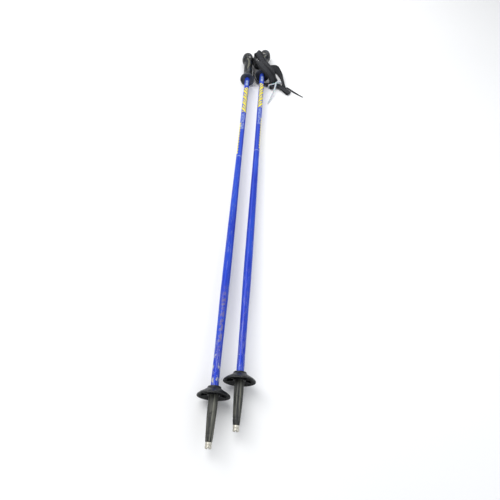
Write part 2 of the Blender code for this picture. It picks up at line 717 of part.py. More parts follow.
def make_right_strap(shop):
    """From the right grip over its own neck, through the tie, and back outside the tie under the neck."""
    pin = strap_pin(RIGHT_POLE_SHIFT)
    upper = pin.y + WRAP_RADIUS
    lower = pin.y - WRAP_RADIUS
    height = pin.z
    out = [
        station(0.0360, upper, height, (0, 0, 1)),
        station(0.0280, upper, height, (0, 0, 1)),
        station(0.0235, upper, height, (0, 0, 1)),
        station(0.0207, upper, height, (0, 0, 1)),
        station(0.0190, upper - 0.0006, height + 0.0022, (0.05, 0.1, 0.98)),
        station(0.0196, 1.1500, 0.0320, (0.55, 0.35, 0.75), 0.022),
        station(0.0240, 1.1375, 0.0420, (0.85, 0.45, 0.2), 0.022),
        station(0.0342, 1.1165, 0.0400, (0.82, 0.55, 0.08), 0.022),
        station(0.0440, 1.0975, 0.0380, (0.78, 0.6, 0.05), 0.023),
        station(0.0575, 1.0780, 0.0395, (0.76, 0.62, -0.05), 0.023),
        station(0.0718, 1.0611, 0.0372, (0.78, 0.6, -0.15), 0.020),
        station(0.0824, 1.0492, 0.0215, (0.82, 0.56, 0.0), 0.0145),
        tie_station(-0.0060, 0.0085, 0.0074, 0.019),
        tie_station(0.0040, 0.0105, 0.0062, 0.018),
        station(0.1075, 1.0275, 0.0062, (0.72, 0.70, 0.0), 0.017),
        station(0.1190, 1.0180, 0.0064, (0.67, 0.74, 0.0), 0.017),
    ]
    fold = hairpin((0.1310, 1.0080), (0.74, -0.67), (0.67, 0.74), 0.0066, 0.0026, 0.017)
    back = [
        station(0.1250, 1.0135, 0.0026, (0.67, 0.74, 0.0), 0.017),
        station(0.1180, 1.0215, 0.0026, (0.75, 0.66, 0.0), 0.017),
        station(0.1135, 1.0335, 0.0062, (0.55, 0.25, 0.75), 0.015),
        station(0.1110, 1.0500, 0.0100, (0.1, 0.02, 0.99), 0.018),
        station(0.1062, 1.0730, 0.0118, (0.12, 0.03, 0.99)),
        station(0.0975, 1.0945, 0.0122, (0.28, 0.12, 0.95), 0.021),
        station(0.0865, 1.1120, 0.0115, (0.45, 0.5, 0.72), 0.022),
        station(0.0745, 1.1200, 0.0078, (0.2, 0.85, 0.45), 0.021),
        station(0.0620, 1.1205, 0.0040, (0.0, 0.98, 0.15)),
        station(0.0500, 1.1190, 0.0028, (0.0, 1.0, 0.0)),
        station(0.0340, 1.1185, 0.0034, (0.4, 0.9, 0.05)),
        station(0.0258, 1.1265, 0.0090, (0.3, 0.35, 0.88)),
        station(0.0255, 1.1370, 0.0165, (0.05, 0.1, 0.99)),
        station(0.0280, lower - 0.0008, height, (0, 0, 1)),
        station(0.0340, lower, height, (0, 0, 1)),
    ]
    stations = wrap(pin, -90, 90) + out + fold + back
    shop.add(ribbon("right_strap", stations, STRAP_THICKNESS), "strap")


def make_slider(shop, name, start_x, centre):
    """A buckle block round one run of webbing that stands on edge along X."""
    half = Vector((SLIDER_LENGTH, SLIDER_DEPTH, SLIDER_HEIGHT)) / 2
    middle = Vector((start_x + half.x, centre.y, centre.z))
    block = shop.add(box(name, middle - half, middle + half), "slider")
    bevel = block.modifiers.new("Round", "BEVEL")
    bevel.width = 0.001
    bevel.segments = 2
    slot = Vector((SLIDER_LENGTH, STRAP_THICKNESS / 2 + 2 * GAP, STRAP_WIDTH / 2 + 2 * GAP))
    boolean(block, shop.add(box(f"{name}_slot", middle - slot, middle + slot)))


def make_strap_tail(shop):
    """A narrow tapered tape end that lies out beyond the tie."""
    stations = [
        station(0.1238, 1.0352, 0.0036, (0.45, 0.89, 0.0), TAIL_WIDTH),
        station(0.1325, 1.0310, 0.0030, (0.45, 0.89, 0.0), TAIL_WIDTH),
        station(0.1440, 1.0240, 0.0018, (0.45, 0.89, 0.0), TAIL_WIDTH),
        station(0.1600, 1.0135, 0.0013, (0.5, 0.87, 0.0), TAIL_WIDTH),
        station(0.1770, 1.0030, 0.0013, (0.5, 0.87, 0.0), TAIL_WIDTH),
    ]
    rings = ribbon_rings(smooth_path(stations, 0.006), TAIL_THICKNESS)
    for index, ring in enumerate(rings):
        taper = 1.0 - 0.65 * (index / (len(rings) - 1)) ** 2
        middle = sum(ring, Vector()) / len(ring)
        ring[:] = [middle + (corner - middle) * Vector((taper, taper, 1.0)) for corner in ring]
    shop.add(loft("left_strap_tail", rings), "strap")


def tie_loop():
    """The middle line of the tie's loop: a rounded rectangle standing across the straps."""
    flat = TIE_HALF_LENGTH - TIE_CORNER
    rise = TIE_HALF_HEIGHT - TIE_CORNER
    corners = ((flat, rise, 0), (-flat, rise, 90), (-flat, -rise, 180), (flat, -rise, 270))
    path = []
    for across, up, start in corners:
        for step in range(5):
            turn = math.radians(start + 90 * step / 4)
            out = across + TIE_CORNER * math.cos(turn)
            height = up + TIE_CORNER * math.sin(turn)
            path.append((TIE_CENTRE + TIE_ACROSS * out + UP * height, TIE_ALONG, TIE_WIDTH))
    return path


def make_cable_tie(shop):
    rings = ribbon_rings(tie_loop(), TIE_THICKNESS, closed=True)
    tie = shop.add(loft("cable_tie", rings, closed=True), "tie")
    top = TIE_CENTRE.z + TIE_HALF_HEIGHT
    half = TIE_HEAD_SIZE / 2
    head = box("tie_head", (-half.x, -half.y, -TIE_THICKNESS / 2), (half.x, half.y, TIE_HEAD_SIZE.z))
    bevel = head.modifiers.new("Round", "BEVEL")
    bevel.width = TIE_HEAD_ROUNDING
    bevel.segments = 2
    turn = Matrix.Rotation(math.atan2(TIE_ACROSS.y, TIE_ACROSS.x), 4, "Z")
    place = tie_place(0.001, TIE_HEAD_PLACE, top)
    move_mesh(head, Matrix.Translation(place) @ turn)
    leave = place + UP * TIE_HEAD_SIZE.z / 2
    tail_stations = [
        (leave, TIE_ALONG, TIE_WIDTH),
        (leave - TIE_ACROSS * TIE_HEAD_SIZE.x, TIE_ALONG, TIE_WIDTH),
        station(0.0880, 1.0220, 0.0150, (0.85, -0.5, 0.0), TIE_WIDTH),
        station(0.0845, 1.0020, 0.0110, (0.95, -0.3, 0.0), TIE_WIDTH),
        station(0.0770, 0.9740, 0.0055, (0.96, -0.28, 0.0), TIE_WIDTH * 0.85),
        station(0.0690, 0.9480, 0.0014, (0.96, -0.28, 0.0), TIE_WIDTH * 0.45),
    ]
    tail = ribbon("tie_tail", tail_stations, TIE_THICKNESS)
    for other in (head, tail):
        boolean(tie, shop.add(other), "UNION")


def make_straps(shop):
    make_left_strap(shop)
    make_right_strap(shop)
    left_run = strap_pin(Vector((0, WRAP_RADIUS, 0)))
    right_run = strap_pin(RIGHT_POLE_SHIFT + Vector((0, WRAP_RADIUS, 0)))
    make_slider(shop, "left_strap_slider", LEFT_SLIDER_START, left_run)
    make_slider(shop, "right_strap_slider", RIGHT_SLIDER_START, right_run)
    make_strap_tail(shop)
    make_cable_tie(shop)


# ---- Assembly ----


def make_frame(name, parent, matrix):
    frame = bpy.data.objects.new(name, None)
    bpy.context.scene.collection.objects.link(frame)
    frame.parent = parent
    frame.matrix_local = matrix
    return frame


def lying_pole_matrix(shift, roll):
    """Lays an upright pole along +Y, resting on its basket rim and flange."""
    height = BASKET_RADIUS * math.cos(TILT) + BASKET_RIM_HEIGHT * math.sin(TILT)
    place = Matrix.Translation(Vector((0.0, 0.0, height)) + shift)
    lay_down = Matrix.Rotation(-(math.radians(90) + TILT), 4, "X")
    return place @ lay_down @ Matrix.Rotation(roll, 4, "Z")


def centre_over_origin(assembly, parts):
    """Moves the assembly so that the origin is under the middle of its box, on the ground."""
    bpy.context.view_layer.update()
    graph = bpy.context.evaluated_depsgraph_get()
    corners = []
    for obj in parts:
        evaluated = obj.evaluated_get(graph)
        mesh = evaluated.to_mesh()
        corners += [evaluated.matrix_world @ vertex.co for vertex in mesh.vertices]
        evaluated.to_mesh_clear()
    low = Vector([min(corner[axis] for corner in corners) for axis in range(3)])
    high = Vector([max(corner[axis] for corner in corners) for axis in range(3)])
    assembly.location = -Vector(((low.x + high.x) / 2, (low.y + high.y) / 2, low.z))


def main():
    clear_scene()
    shop = Workshop()
    assembly = make_frame("assembly_frame", None, Matrix.Identity(4))
    poles = (
        ("left", Vector((0, 0, 0)), 0.0),
        ("right", RIGHT_POLE_SHIFT, math.pi),
    )
    for side, shift, roll in poles:
        shop.frame = make_frame(f"{side}_pole_frame", assembly, lying_pole_matrix(shift, roll))
        make_pole(shop, side)
    shop.frame = assembly
    make_straps(shop)
    centre_over_origin(assembly, shop.parts.objects)


main()
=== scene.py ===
"""The looks of a pair of alpine ski poles lying side by side, their wrist straps bound by a cable tie.

Every piece on a pole is modelled upright in that pole's own frame: +Z runs from the end of the tip to
the top of the grip, +X is the side where the strap leaves the grip, and the strap screw lies along Y.
The straps and the tie are modelled as they lie, in the row frame. Metres.
"""

import json
import math

import bmesh
import bpy
import numpy as np
from mathutils import Matrix, Vector


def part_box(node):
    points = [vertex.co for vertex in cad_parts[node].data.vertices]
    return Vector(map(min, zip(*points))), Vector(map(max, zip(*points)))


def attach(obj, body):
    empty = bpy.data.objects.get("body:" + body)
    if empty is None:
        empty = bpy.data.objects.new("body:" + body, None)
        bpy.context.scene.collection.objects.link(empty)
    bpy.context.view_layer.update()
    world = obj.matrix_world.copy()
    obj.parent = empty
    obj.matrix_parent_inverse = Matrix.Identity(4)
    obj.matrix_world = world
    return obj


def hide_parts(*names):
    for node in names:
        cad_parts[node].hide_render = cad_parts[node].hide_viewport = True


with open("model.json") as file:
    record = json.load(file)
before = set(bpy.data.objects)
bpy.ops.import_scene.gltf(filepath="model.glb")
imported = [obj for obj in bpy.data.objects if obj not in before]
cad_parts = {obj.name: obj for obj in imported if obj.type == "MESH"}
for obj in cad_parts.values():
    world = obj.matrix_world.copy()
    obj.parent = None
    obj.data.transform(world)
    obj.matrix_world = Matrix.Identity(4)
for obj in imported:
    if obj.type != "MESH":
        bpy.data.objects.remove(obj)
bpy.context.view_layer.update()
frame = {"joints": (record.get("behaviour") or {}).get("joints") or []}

SIDES = ("left", "right")
# The flank of each grip that faces up as the poles lie, as the sign of its local Y.
UPPER_FLANK = {"left": -1.0, "right": 1.0}

# ---- Sizes that follow the CAD part ----

POLE_LENGTH = 1.150
PIN_HEIGHT = 1.120
CAP_SEAM_HEIGHT = 1.137
GAP = 0.0003
SHAFT_WALL = 0.001
SHAFT_PROFILE = (
    (0.045, 0.0053),
    (0.100, 0.00725),
    (0.150, 0.0073),
    (0.235, 0.0079),
    (0.275, 0.0085),
    (0.350, 0.0088),
    (0.440, 0.0086),
    (0.530, 0.0083),
    (0.640, 0.0077),
    (0.760, 0.0073),
    (1.106, 0.0071),
)
FERRULE_TOP = 0.1035
FERRULE_SEAT = 0.084
FERRULE_BOTTOM = 0.0104
FERRULE_SEAT_RADIUS = 0.0089
FERRULE_END_RADIUS = 0.0060
TIP_RADIUS = 0.0057
BASKET_RADIUS = 0.0305
BASKET_RIBS = 6
FLANGE_HEIGHT = 1.0205
GRIP_SECTIONS = (
    # height, centre x, half width x, half depth y
    (FLANGE_HEIGHT, 0.0, 0.0204, 0.0204),
    (FLANGE_HEIGHT + 0.0004, 0.0, 0.0209, 0.0209),
    (FLANGE_HEIGHT + 0.0012, 0.0, 0.0212, 0.0212),
    (FLANGE_HEIGHT + 0.0026, 0.0, 0.0212, 0.0212),
    (1.0245, 0.0, 0.0210, 0.0210),
    (1.0280, 0.0, 0.0192, 0.0192),
    (1.0330, 0.0, 0.0162, 0.0160),
    (1.0400, -0.0001, 0.0137, 0.0134),
    (1.0520, -0.0003, 0.0124, 0.0121),
    (1.0680, -0.0006, 0.0128, 0.0124),
    (1.0840, -0.0009, 0.0126, 0.0122),
    (1.0960, -0.0012, 0.0121, 0.0120),
    (1.1030, -0.0018, 0.0124, 0.0128),
    (1.1085, -0.0032, 0.0142, 0.0145),
    (1.1135, -0.0046, 0.0160, 0.0155),
    (1.1210, -0.0052, 0.0168, 0.0160),
    (1.1300, -0.0052, 0.0167, 0.0158),
    (CAP_SEAM_HEIGHT, -0.0050, 0.0158, 0.0150),
    (1.1420, -0.0047, 0.0141, 0.0134),
    (1.1465, -0.0043, 0.0112, 0.0106),
    (1.1490, -0.0040, 0.0080, 0.0076),
    (POLE_LENGTH, -0.0038, 0.0060, 0.0057),
)
INLAY_FLOOR = 0.0095
INLAY_PROUD = 0.0007
INLAY_SPINE = (
    # height, centre x, half width
    (1.0615, -0.0030, 0.0004),
    (1.0660, -0.0022, 0.0020),
    (1.0760, -0.0004, 0.0029),
    (1.0880, 0.0008, 0.0031),
    (1.0980, 0.0002, 0.0029),
    (1.1050, -0.0022, 0.0027),
    (1.1095, -0.0056, 0.0020),
    (1.1115, -0.0078, 0.0004),
)
SCREW_RECESS_RADIUS = 0.0048
SCREW_RECESS_FLOOR = 0.0130
SCREW_HEAD_RADIUS = 0.0043
NUT_RADIUS = 0.0042

STRAP_WIDTH = 0.020
LOOP_WIDTH = 0.026
STRAP_THICKNESS = 0.0018
WRAP_RADIUS = 0.0048
TAIL_WIDTH = 0.007
TAIL_THICKNESS = 0.0012
TIE_WIDTH = 0.0048
TIE_THICKNESS = 0.0013
TIE_HALF_LENGTH = 0.0220
TIE_HALF_HEIGHT = 0.0059
TIE_CORNER = 0.0029
TIE_HEAD_PLACE = 0.0110
TIE_HEAD_SIZE = Vector((0.0084, 0.0080, 0.0058))
UP = Vector((0.0, 0.0, 1.0))

# The camera stands past the tips and above the poles.
CAMERA_PLACE = (-0.088033, -0.680154, 0.793448)
CAMERA_TURN = (0.562688, -0.140600, 0.137750)
CAMERA_LENS = 29.62


def joint(name):
    return next(entry for entry in frame["joints"] if entry["name"] == name)


STRAP_PIN = {
    "left": Vector(joint("left_strap_swing")["pos_m"]),
    "right": Vector(joint("right_pole_swing")["pos_m"]),
}


def pole_matrix(side):
    """Places a pole that was modelled upright: its strap pin on the joint, its length along the shaft."""
    along = Vector(joint(f"{side}_basket_spin")["axis"]).normalized()
    outward = Vector((1.0, 0.0, 0.0)) if side == "left" else Vector((-1.0, 0.0, 0.0))
    depth = along.cross(outward)
    origin = STRAP_PIN[side] - along * PIN_HEIGHT
    matrix = Matrix((outward, depth, along)).transposed().to_4x4()
    matrix.translation = origin
    return matrix


POLE_MATRIX = {side: pole_matrix(side) for side in SIDES}


# ---- Materials ----


class Paint:
    """A procedural material under construction: short names for the nodes it is made of."""

    def __init__(self, name, **plain):
        self.material = bpy.data.materials.new(name)
        self.material.use_nodes = True
        self.tree = self.material.node_tree
        self.shader = self.tree.nodes["Principled BSDF"]
        for socket, value in plain.items():
            self.shader.inputs[socket.replace("_", " ")].default_value = value
        coordinates = self.tree.nodes.new("ShaderNodeTexCoord")
        self.place = coordinates.outputs["Object"]
        self.uv = coordinates.outputs["UV"]

    def feed(self, socket, value):
        if isinstance(value, bpy.types.NodeSocket):
            self.tree.links.new(value, socket)
        elif socket.type == "RGBA":
            socket.default_value = (*value, 1.0)
        else:
            socket.default_value = value

    def node(self, kind, inputs, **settings):
        made = self.tree.nodes.new("ShaderNode" + kind)
        for key, value in settings.items():
            setattr(made, key, value)
        for key, value in inputs.items():
            self.feed(made.inputs[key], value)
        return made.outputs[0]

    def math(self, operation, first, second=0.0):
        return self.node("Math", {0: first, 1: second}, operation=operation)

    def times(self, first, second):
        return self.math("MULTIPLY", first, second)

    def either(self, first, second):
        return self.math("MAXIMUM", first, second)

    def outside(self, mask):
        return self.math("SUBTRACT", 1.0, mask)

    def parts(self, vector):
        made = self.tree.nodes.new("ShaderNodeSeparateXYZ")
        self.feed(made.inputs[0], vector)
        return made.outputs

    def stretch(self, vector, scale):
        return self.node("VectorMath", {0: vector, 1: scale}, operation="MULTIPLY")

    def noise(self, vector, scale, detail=3.0, roughness=0.55):
        inputs = {"Vector": vector, "Scale": scale, "Detail": detail, "Roughness": roughness}
        return self.node("TexNoise", inputs)

    def stretched_noise(self, scales, detail=3.0, roughness=0.55):
        """Noise with its own scale along each axis."""
        return self.noise(self.stretch(self.place, scales), 1.0, detail, roughness)

    def step(self, value, low, high):
        """0 below low and 1 above high, smooth between them. low may be the larger."""
        inputs = {"Value": value, "From Min": low, "From Max": high}
        return self.node("MapRange", inputs, interpolation_type="SMOOTHSTEP")

    def band(self, value, low, high, soft):
        rise = self.step(value, low - soft, low + soft)
        fall = self.step(value, high + soft, high - soft)
        return self.times(rise, fall)

    def both(self, *masks):
        result = masks[0]
        for mask in masks[1:]:
            result = self.times(result, mask)
        return result

    def mix(self, factor, first, second):
        made = self.tree.nodes.new("ShaderNodeMix")
        made.data_type = "RGBA"
        self.feed(made.inputs[0], factor)
        self.feed(made.inputs[6], first)
        self.feed(made.inputs[7], second)
        return made.outputs[2]

    def blend(self, factor, first, second):
        """A number that goes from first to second."""
        made = self.tree.nodes.new("ShaderNodeMix")
        self.feed(made.inputs[0], factor)
        self.feed(made.inputs[2], first)
        self.feed(made.inputs[3], second)
        return made.outputs[0]

    def colour(self, value):
        self.feed(self.shader.inputs["Base Color"], value)

    def rough(self, value):
        self.feed(self.shader.inputs["Roughness"], value)

    def metal(self, value):
        self.feed(self.shader.inputs["Metallic"], value)

    def bump(self, height, strength, distance):
        inputs = {"Height": height, "Strength": strength, "Distance": distance}
        self.feed(self.shader.inputs["Normal"], self.node("Bump", inputs))


BLUE = (0.010, 0.030, 0.44)
BRIGHT_BLUE = (0.020, 0.075, 0.58)
# Painted shade for the sides and underside of the shaft.
SHADED_FLANK_BLUE = (0.006, 0.010, 0.24)
YELLOW = (0.84, 0.72, 0.004)
PALE = (0.34, 0.42, 0.58)
SILVER = (0.44, 0.45, 0.46)

# Printed bands on the shaft, by height along the pole.
MARK_BAND = (0.862, 0.974)
MARK_PITCH = 0.0262
# How far a bar climbs for each radian round the shaft.
MARK_SLANT = 0.0105
COLLAR_BAND = (0.984, 1.008)
DASH_BAND = (0.790, 0.856)
TEETH_BAND = (0.697, 0.820)
TEETH_PITCH = 0.0105
RING_BAND = (0.6858, 0.6885)
# The level of noise above which a lacquer chip shows near the basket: lower means more chips.
CHIP_EDGE = {"left": 0.59, "right": 0.625}


def lacquer(side):
    """Metallic blue lacquer with slanted yellow bars, pale marks, and scratches that thicken downwards."""
    paint = Paint(f"{side}_shaft_lacquer", Specular_IOR_Level=0.25, Specular_Tint=(0.30, 0.42, 1.0, 1.0))
    x, y, height = paint.parts(paint.place)
    facing = UPPER_FLANK[side]
    angle = paint.math("ARCTAN2", x, paint.times(y, facing))
    off_middle = paint.math("ABSOLUTE", angle)

    # The blue itself: fine flake, cloudy variation, and painted shade that darkens the blue on the sides and
    # underside, so a lighter strip runs along the upper flank.
    flake = paint.noise(paint.place, 5200.0, 1.0)
    cloud = paint.stretched_noise((90.0, 90.0, 9.0))
    blue = paint.mix(paint.step(cloud, 0.35, 0.68), BLUE, BRIGHT_BLUE)
    blue = paint.mix(paint.times(flake, 0.06), blue, PALE)
    # Painted shade: the blue darkens further round from the upper flank.
    flank = paint.step(off_middle, 1.15, 1.75)
    blue = paint.mix(paint.times(flank, 0.8), blue, SHADED_FLANK_BLUE)

    # Silvery mottling where the lacquer has dulled, stronger on the left pole.
    dull_noise = paint.stretched_noise((260.0, 260.0, 70.0), 4.0, 0.65)
    dull_zone = paint.band(height, 0.385, 0.675, 0.05)
    dulled = paint.both(paint.step(dull_noise, 0.50, 0.70), dull_zone, paint.band(angle, -1.1, 0.6, 0.3))
    dull_amount = 0.50 if side == "left" else 0.12
    blue = paint.mix(paint.times(dulled, dull_amount), blue, (0.16, 0.22, 0.42))
    # A lighter blue stripe at a fixed angle near the upper flank: a painted highlight, stronger on the right
    # pole.
    highlight_stripe = paint.band(angle, 0.22, 0.52, 0.14)
    highlight_amount = 0.15 if side == "left" else 0.38
    blue = paint.mix(paint.times(highlight_stripe, highlight_amount), blue, (0.11, 0.15, 0.66))

    # Slanted bars, thick and thin by turns, with slanted ends.
    slant = paint.times(angle, MARK_SLANT)
    run = paint.math("DIVIDE", paint.math("ADD", height, slant), MARK_PITCH)
    thick = paint.band(paint.math("FRACT", run), 0.05, 0.46, 0.02)
    thin = paint.band(paint.math("FRACT", run), 0.60, 0.88, 0.02)
    reach = paint.band(paint.math("ADD", angle, 0.05), -0.98, 0.98, 0.03)
    inset = paint.band(paint.math("ADD", angle, 0.05), -0.70, 0.98, 0.03)
    bar = paint.either(paint.both(thick, reach), paint.both(thin, inset))
    yellow = paint.both(bar, paint.band(height, *MARK_BAND, 0.0004))

    # Yellow teeth along one edge.
    tooth = paint.math("PINGPONG", paint.math("DIVIDE", height, TEETH_PITCH), 0.5)
    inner = paint.math("ADD", -1.12, paint.times(tooth, 1.2))
    teeth = paint.both(
        paint.step(paint.math("SUBTRACT", angle, inner), 0.02, -0.02),
        paint.step(angle, -2.2, -2.15),
        paint.band(height, *TEETH_BAND, 0.0005),
    )
    yellow = paint.either(yellow, teeth)
    worn = paint.step(paint.noise(paint.stretch(paint.place, (1.0, 1.0, 0.35)), 620.0, 2.0), 0.66, 0.72)
    yellow = paint.times(yellow, paint.outside(worn))

    # Pale collar mark, broken pale dashes, and one thin pale ring.
    collar = paint.both(paint.band(height, *COLLAR_BAND, 0.0005), paint.band(angle, -0.55, 0.50, 0.08))
    collar_gap = paint.band(height, 0.9955, 0.9972, 0.0003)
    collar = paint.times(collar, paint.outside(collar_gap))
    dash_noise = paint.stretched_noise((420.0, 420.0, 150.0), 1.0)
    dashes = paint.both(
        paint.step(dash_noise, 0.46, 0.54),
        paint.band(height, *DASH_BAND, 0.001),
        paint.band(angle, -0.75, 0.55, 0.05),
    )
    ring = paint.band(height, *RING_BAND, 0.0002)
    pale = paint.either(paint.times(collar, 0.85), paint.times(dashes, 0.75))
    pale = paint.either(pale, paint.times(ring, 0.7))

    # Wear: long fine scratches everywhere, chips and a rubbed patch near the basket.
    low = paint.step(height, 0.52, 0.12)
    streak = paint.stretched_noise((1500.0, 1500.0, 24.0), 2.0)
    scratch_edge = paint.blend(low, 0.70, 0.60)
    scratch = paint.step(paint.math("SUBTRACT", streak, scratch_edge), 0.0, 0.03)
    chip_noise = paint.stretched_noise((240.0, 240.0, 85.0), 3.0, 0.7)
    chip_edge = paint.blend(paint.step(height, 0.26, 0.13), 0.78, CHIP_EDGE[side])
    chip = paint.step(paint.math("SUBTRACT", chip_noise, chip_edge), 0.0, 0.02)
    worn_metal = paint.either(paint.times(scratch, 0.7), chip)
    patch_amount = 0.85 if side == "left" else 0.15
    rub = paint.both(
        paint.band(height, 0.165, 0.290, 0.03),
        paint.band(angle, -0.55, 0.5, 0.3),
        paint.step(paint.noise(paint.place, 130.0, 3.0), 0.38, 0.62),
    )

    colour = paint.mix(paint.times(rub, patch_amount), blue, (0.20, 0.17, 0.24))
    colour = paint.mix(pale, colour, PALE)
    colour = paint.mix(yellow, colour, YELLOW)
    colour = paint.mix(worn_metal, colour, SILVER)
    paint.colour(colour)
    printed = paint.either(yellow, pale)
    paint.metal(paint.times(paint.outside(printed), 0.12))
    paint.rough(paint.blend(paint.either(worn_metal, rub), 0.34, 0.52))
    height_map = paint.math("SUBTRACT", paint.times(printed, 0.5), worn_metal)
    paint.bump(height_map, 0.25, 0.00008)
    return paint.material


def moulded(
    name, base, light, grain, roughness, wear, streaks=0.0, scuffs=330.0, lip=None, sheen=None
):
    """Moulded plastic or rubber with fine grain and scuffs of the light colour.

    grain and scuffs are noise scales, wear and streaks say how strongly the light colour shows, the streaks
    being painted highlight, lip is a colour for a painted highlight on the top of the grip's flange, and
    sheen a colour for a painted reflection in broad patches.
    """
    paint = Paint(name, Specular_IOR_Level=0.35)
    fine = paint.noise(paint.place, grain, 4.0)
    broad = paint.noise(paint.place, 75.0, 3.0)
    colour = paint.mix(paint.step(broad, 0.35, 0.7), base, tuple(0.75 * part for part in base))
    scuff = paint.step(paint.noise(paint.stretch(paint.place, (1.0, 1.0, 0.4)), scuffs, 4.0, 0.7), 0.52, 0.70)
    colour = paint.mix(paint.times(scuff, wear), colour, light)
    # Pale lengthwise streaks at random round the piece: painted highlight streaks.
    if streaks:
        run = paint.stretched_noise((300.0, 300.0, 12.0), 3.0)
        colour = paint.mix(paint.times(paint.step(run, 0.42, 0.66), streaks), colour, light)
    # Bluish patches at random: a painted reflection.
    if sheen is not None:
        reflection_patches = paint.step(paint.noise(paint.place, 95.0, 2.0), 0.50, 0.66)
        colour = paint.mix(paint.times(reflection_patches, 0.7), colour, sheen)
    # A bluish painted highlight on the flange, patchy with the broad noise.
    if lip is not None:
        height = paint.parts(paint.place)[2]
        flange_highlight = paint.both(paint.step(height, FLANGE_HEIGHT + 0.0045, FLANGE_HEIGHT + 0.0030), broad)
        colour = paint.mix(flange_highlight, colour, lip)
    paint.colour(colour)
    paint.rough(paint.blend(fine, roughness - 0.12, roughness + 0.12))
    paint.bump(fine, 0.35, 0.00012)
    return paint.material


def steel(name, base, dark, roughness):
    """Dull steel with turning marks, stains and small pits."""
    paint = Paint(name)
    stain = paint.noise(paint.place, 420.0, 4.0, 0.65)
    pits = paint.step(paint.noise(paint.place, 2600.0, 2.0), 0.66, 0.72)
    colour = paint.mix(paint.step(stain, 0.52, 0.74), base, dark)
    paint.colour(paint.mix(paint.times(pits, 0.6), colour, dark))
    paint.metal(paint.blend(stain, 0.75, 0.45))
    paint.rough(paint.blend(stain, roughness - 0.08, roughness + 0.2))
    turning = paint.stretched_noise((60.0, 60.0, 4200.0), 1.0)
    paint.bump(turning, 0.3, 0.00004)
    return paint.material


WEAVE_PITCH = 0.0011


def webbing_material():
    """Dark grey herringbone webbing: the UV map runs across and along the strap in metres."""
    paint = Paint("webbing", Roughness=0.85, Sheen_Weight=0.10, Sheen_Roughness=0.5, Specular_IOR_Level=0.2)
    across, along, _ = paint.parts(paint.uv)
    fold = paint.math("PINGPONG", across, 0.0035)
    phase = paint.math("DIVIDE", paint.math("ADD", along, fold), WEAVE_PITCH)
    yarn = paint.math("SINE", paint.times(phase, math.tau))
    thread = paint.math("SINE", paint.times(across, math.tau / 0.0009))
    rib = paint.step(paint.math("ADD", yarn, paint.times(thread, 0.5)), -0.9, 1.1)
    dust = paint.noise(paint.place, 160.0, 4.0)
    colour = paint.mix(rib, (0.003, 0.0035, 0.005), (0.026, 0.028, 0.034))
    colour = paint.mix(paint.times(paint.step(dust, 0.45, 0.75), 0.30), colour, (0.060, 0.060, 0.062))
    # The edges are painted dark: partly a dark selvedge, partly painted shade as in the crease where one band
    # lies against the next.
    from_edge = paint.math("ABSOLUTE", across)
    edge = paint.step(from_edge, 0.0055, 0.0080)
    line = paint.band(paint.math("PINGPONG", from_edge, 0.0022), 0.0004, 0.0013, 0.0004)
    colour = paint.mix(paint.times(line, 0.45), colour, (0.085, 0.088, 0.098))
    colour = paint.mix(paint.times(edge, 0.85), colour, (0.006, 0.0065, 0.008))
    paint.colour(colour)
    fuzz = paint.noise(paint.place, 3800.0, 2.0)
    paint.bump(paint.math("ADD", rib, paint.times(fuzz, 0.3)), 0.5, 0.00018)
    return paint.material


def nylon_material():
    """Pale translucent nylon with a faint cloudy tone."""
    paint = Paint(
        "tie_nylon", Roughness=0.32, Subsurface_Weight=0.35, Subsurface_Scale=0.004, IOR=1.53
    )
    cloud = paint.noise(paint.place, 260.0, 3.0)
    paint.colour(paint.mix(cloud, (0.38, 0.45, 0.48), (0.54, 0.60, 0.63)))
    paint.bump(paint.noise(paint.place, 1500.0, 2.0), 0.15, 0.00006)
    return paint.material


MATERIALS = {
    "left_lacquer": lacquer("left"),
    "right_lacquer": lacquer("right"),
    "ferrule": moulded(
        "ferrule_plastic",
        base=(0.016, 0.018, 0.018),
        light=(0.19, 0.19, 0.155),
        grain=2400.0,
        roughness=0.44,
        wear=0.25,
        # The streaks are painted highlight.
        streaks=0.8,
    ),
    "basket": moulded(
        "basket_plastic",
        base=(0.006, 0.007, 0.008),
        light=(0.085, 0.088, 0.080),
        grain=2200.0,
        roughness=0.42,
        wear=0.65,
        scuffs=150.0,
    ),
    "grip": moulded(
        "grip_rubber",
        base=(0.007, 0.008, 0.010),
        light=(0.10, 0.10, 0.085),
        grain=3000.0,
        roughness=0.36,
        wear=0.9,
        scuffs=150.0,
        # The flange gets a painted highlight, and broad patches a bluish painted reflection.
        lip=(0.075, 0.085, 0.11),
        sheen=(0.030, 0.042, 0.070),
    ),
    "cap": moulded(
        "cap_plastic",
        base=(0.012, 0.012, 0.012),
        light=(0.16, 0.16, 0.135),
        grain=2600.0,
        roughness=0.42,
        wear=0.9,
        scuffs=150.0,
    ),
    "inlay": moulded("inlay_rubber", (0.15, 0.15, 0.115), (0.34, 0.34, 0.28), 2600.0, 0.5, 0.6),
    "slider": moulded("slider_plastic", (0.012, 0.012, 0.014), (0.06, 0.06, 0.06), 2600.0, 0.42, 0.4),
    "bush": moulded("bush_plastic", (0.16, 0.16, 0.16), (0.26, 0.26, 0.26), 2600.0, 0.5, 0.3),
    "thread": moulded("sewing_thread", (0.085, 0.087, 0.092), (0.15, 0.15, 0.15), 4000.0, 0.8, 0.3),
    "screw": steel("screw_zinc", (0.34, 0.33, 0.31), (0.07, 0.055, 0.045), 0.42),
    "tip": steel("tip_steel", (0.56, 0.54, 0.47), (0.20, 0.17, 0.13), 0.38),
    "webbing": webbing_material(),
    "nylon": nylon_material(),
}


# ---- Mesh tools ----


def linked(name, data):
    obj = bpy.data.objects.new(name, data)
    bpy.context.scene.collection.objects.link(obj)
    return obj


def turns_round(count):
    return np.linspace(0.0, math.tau, count, endpoint=False)


def ramp(value, start, reach):
    """0 at start and 1 at start + reach, straight between them. reach may be negative."""
    return np.clip((value - start) / reach, 0, 1)


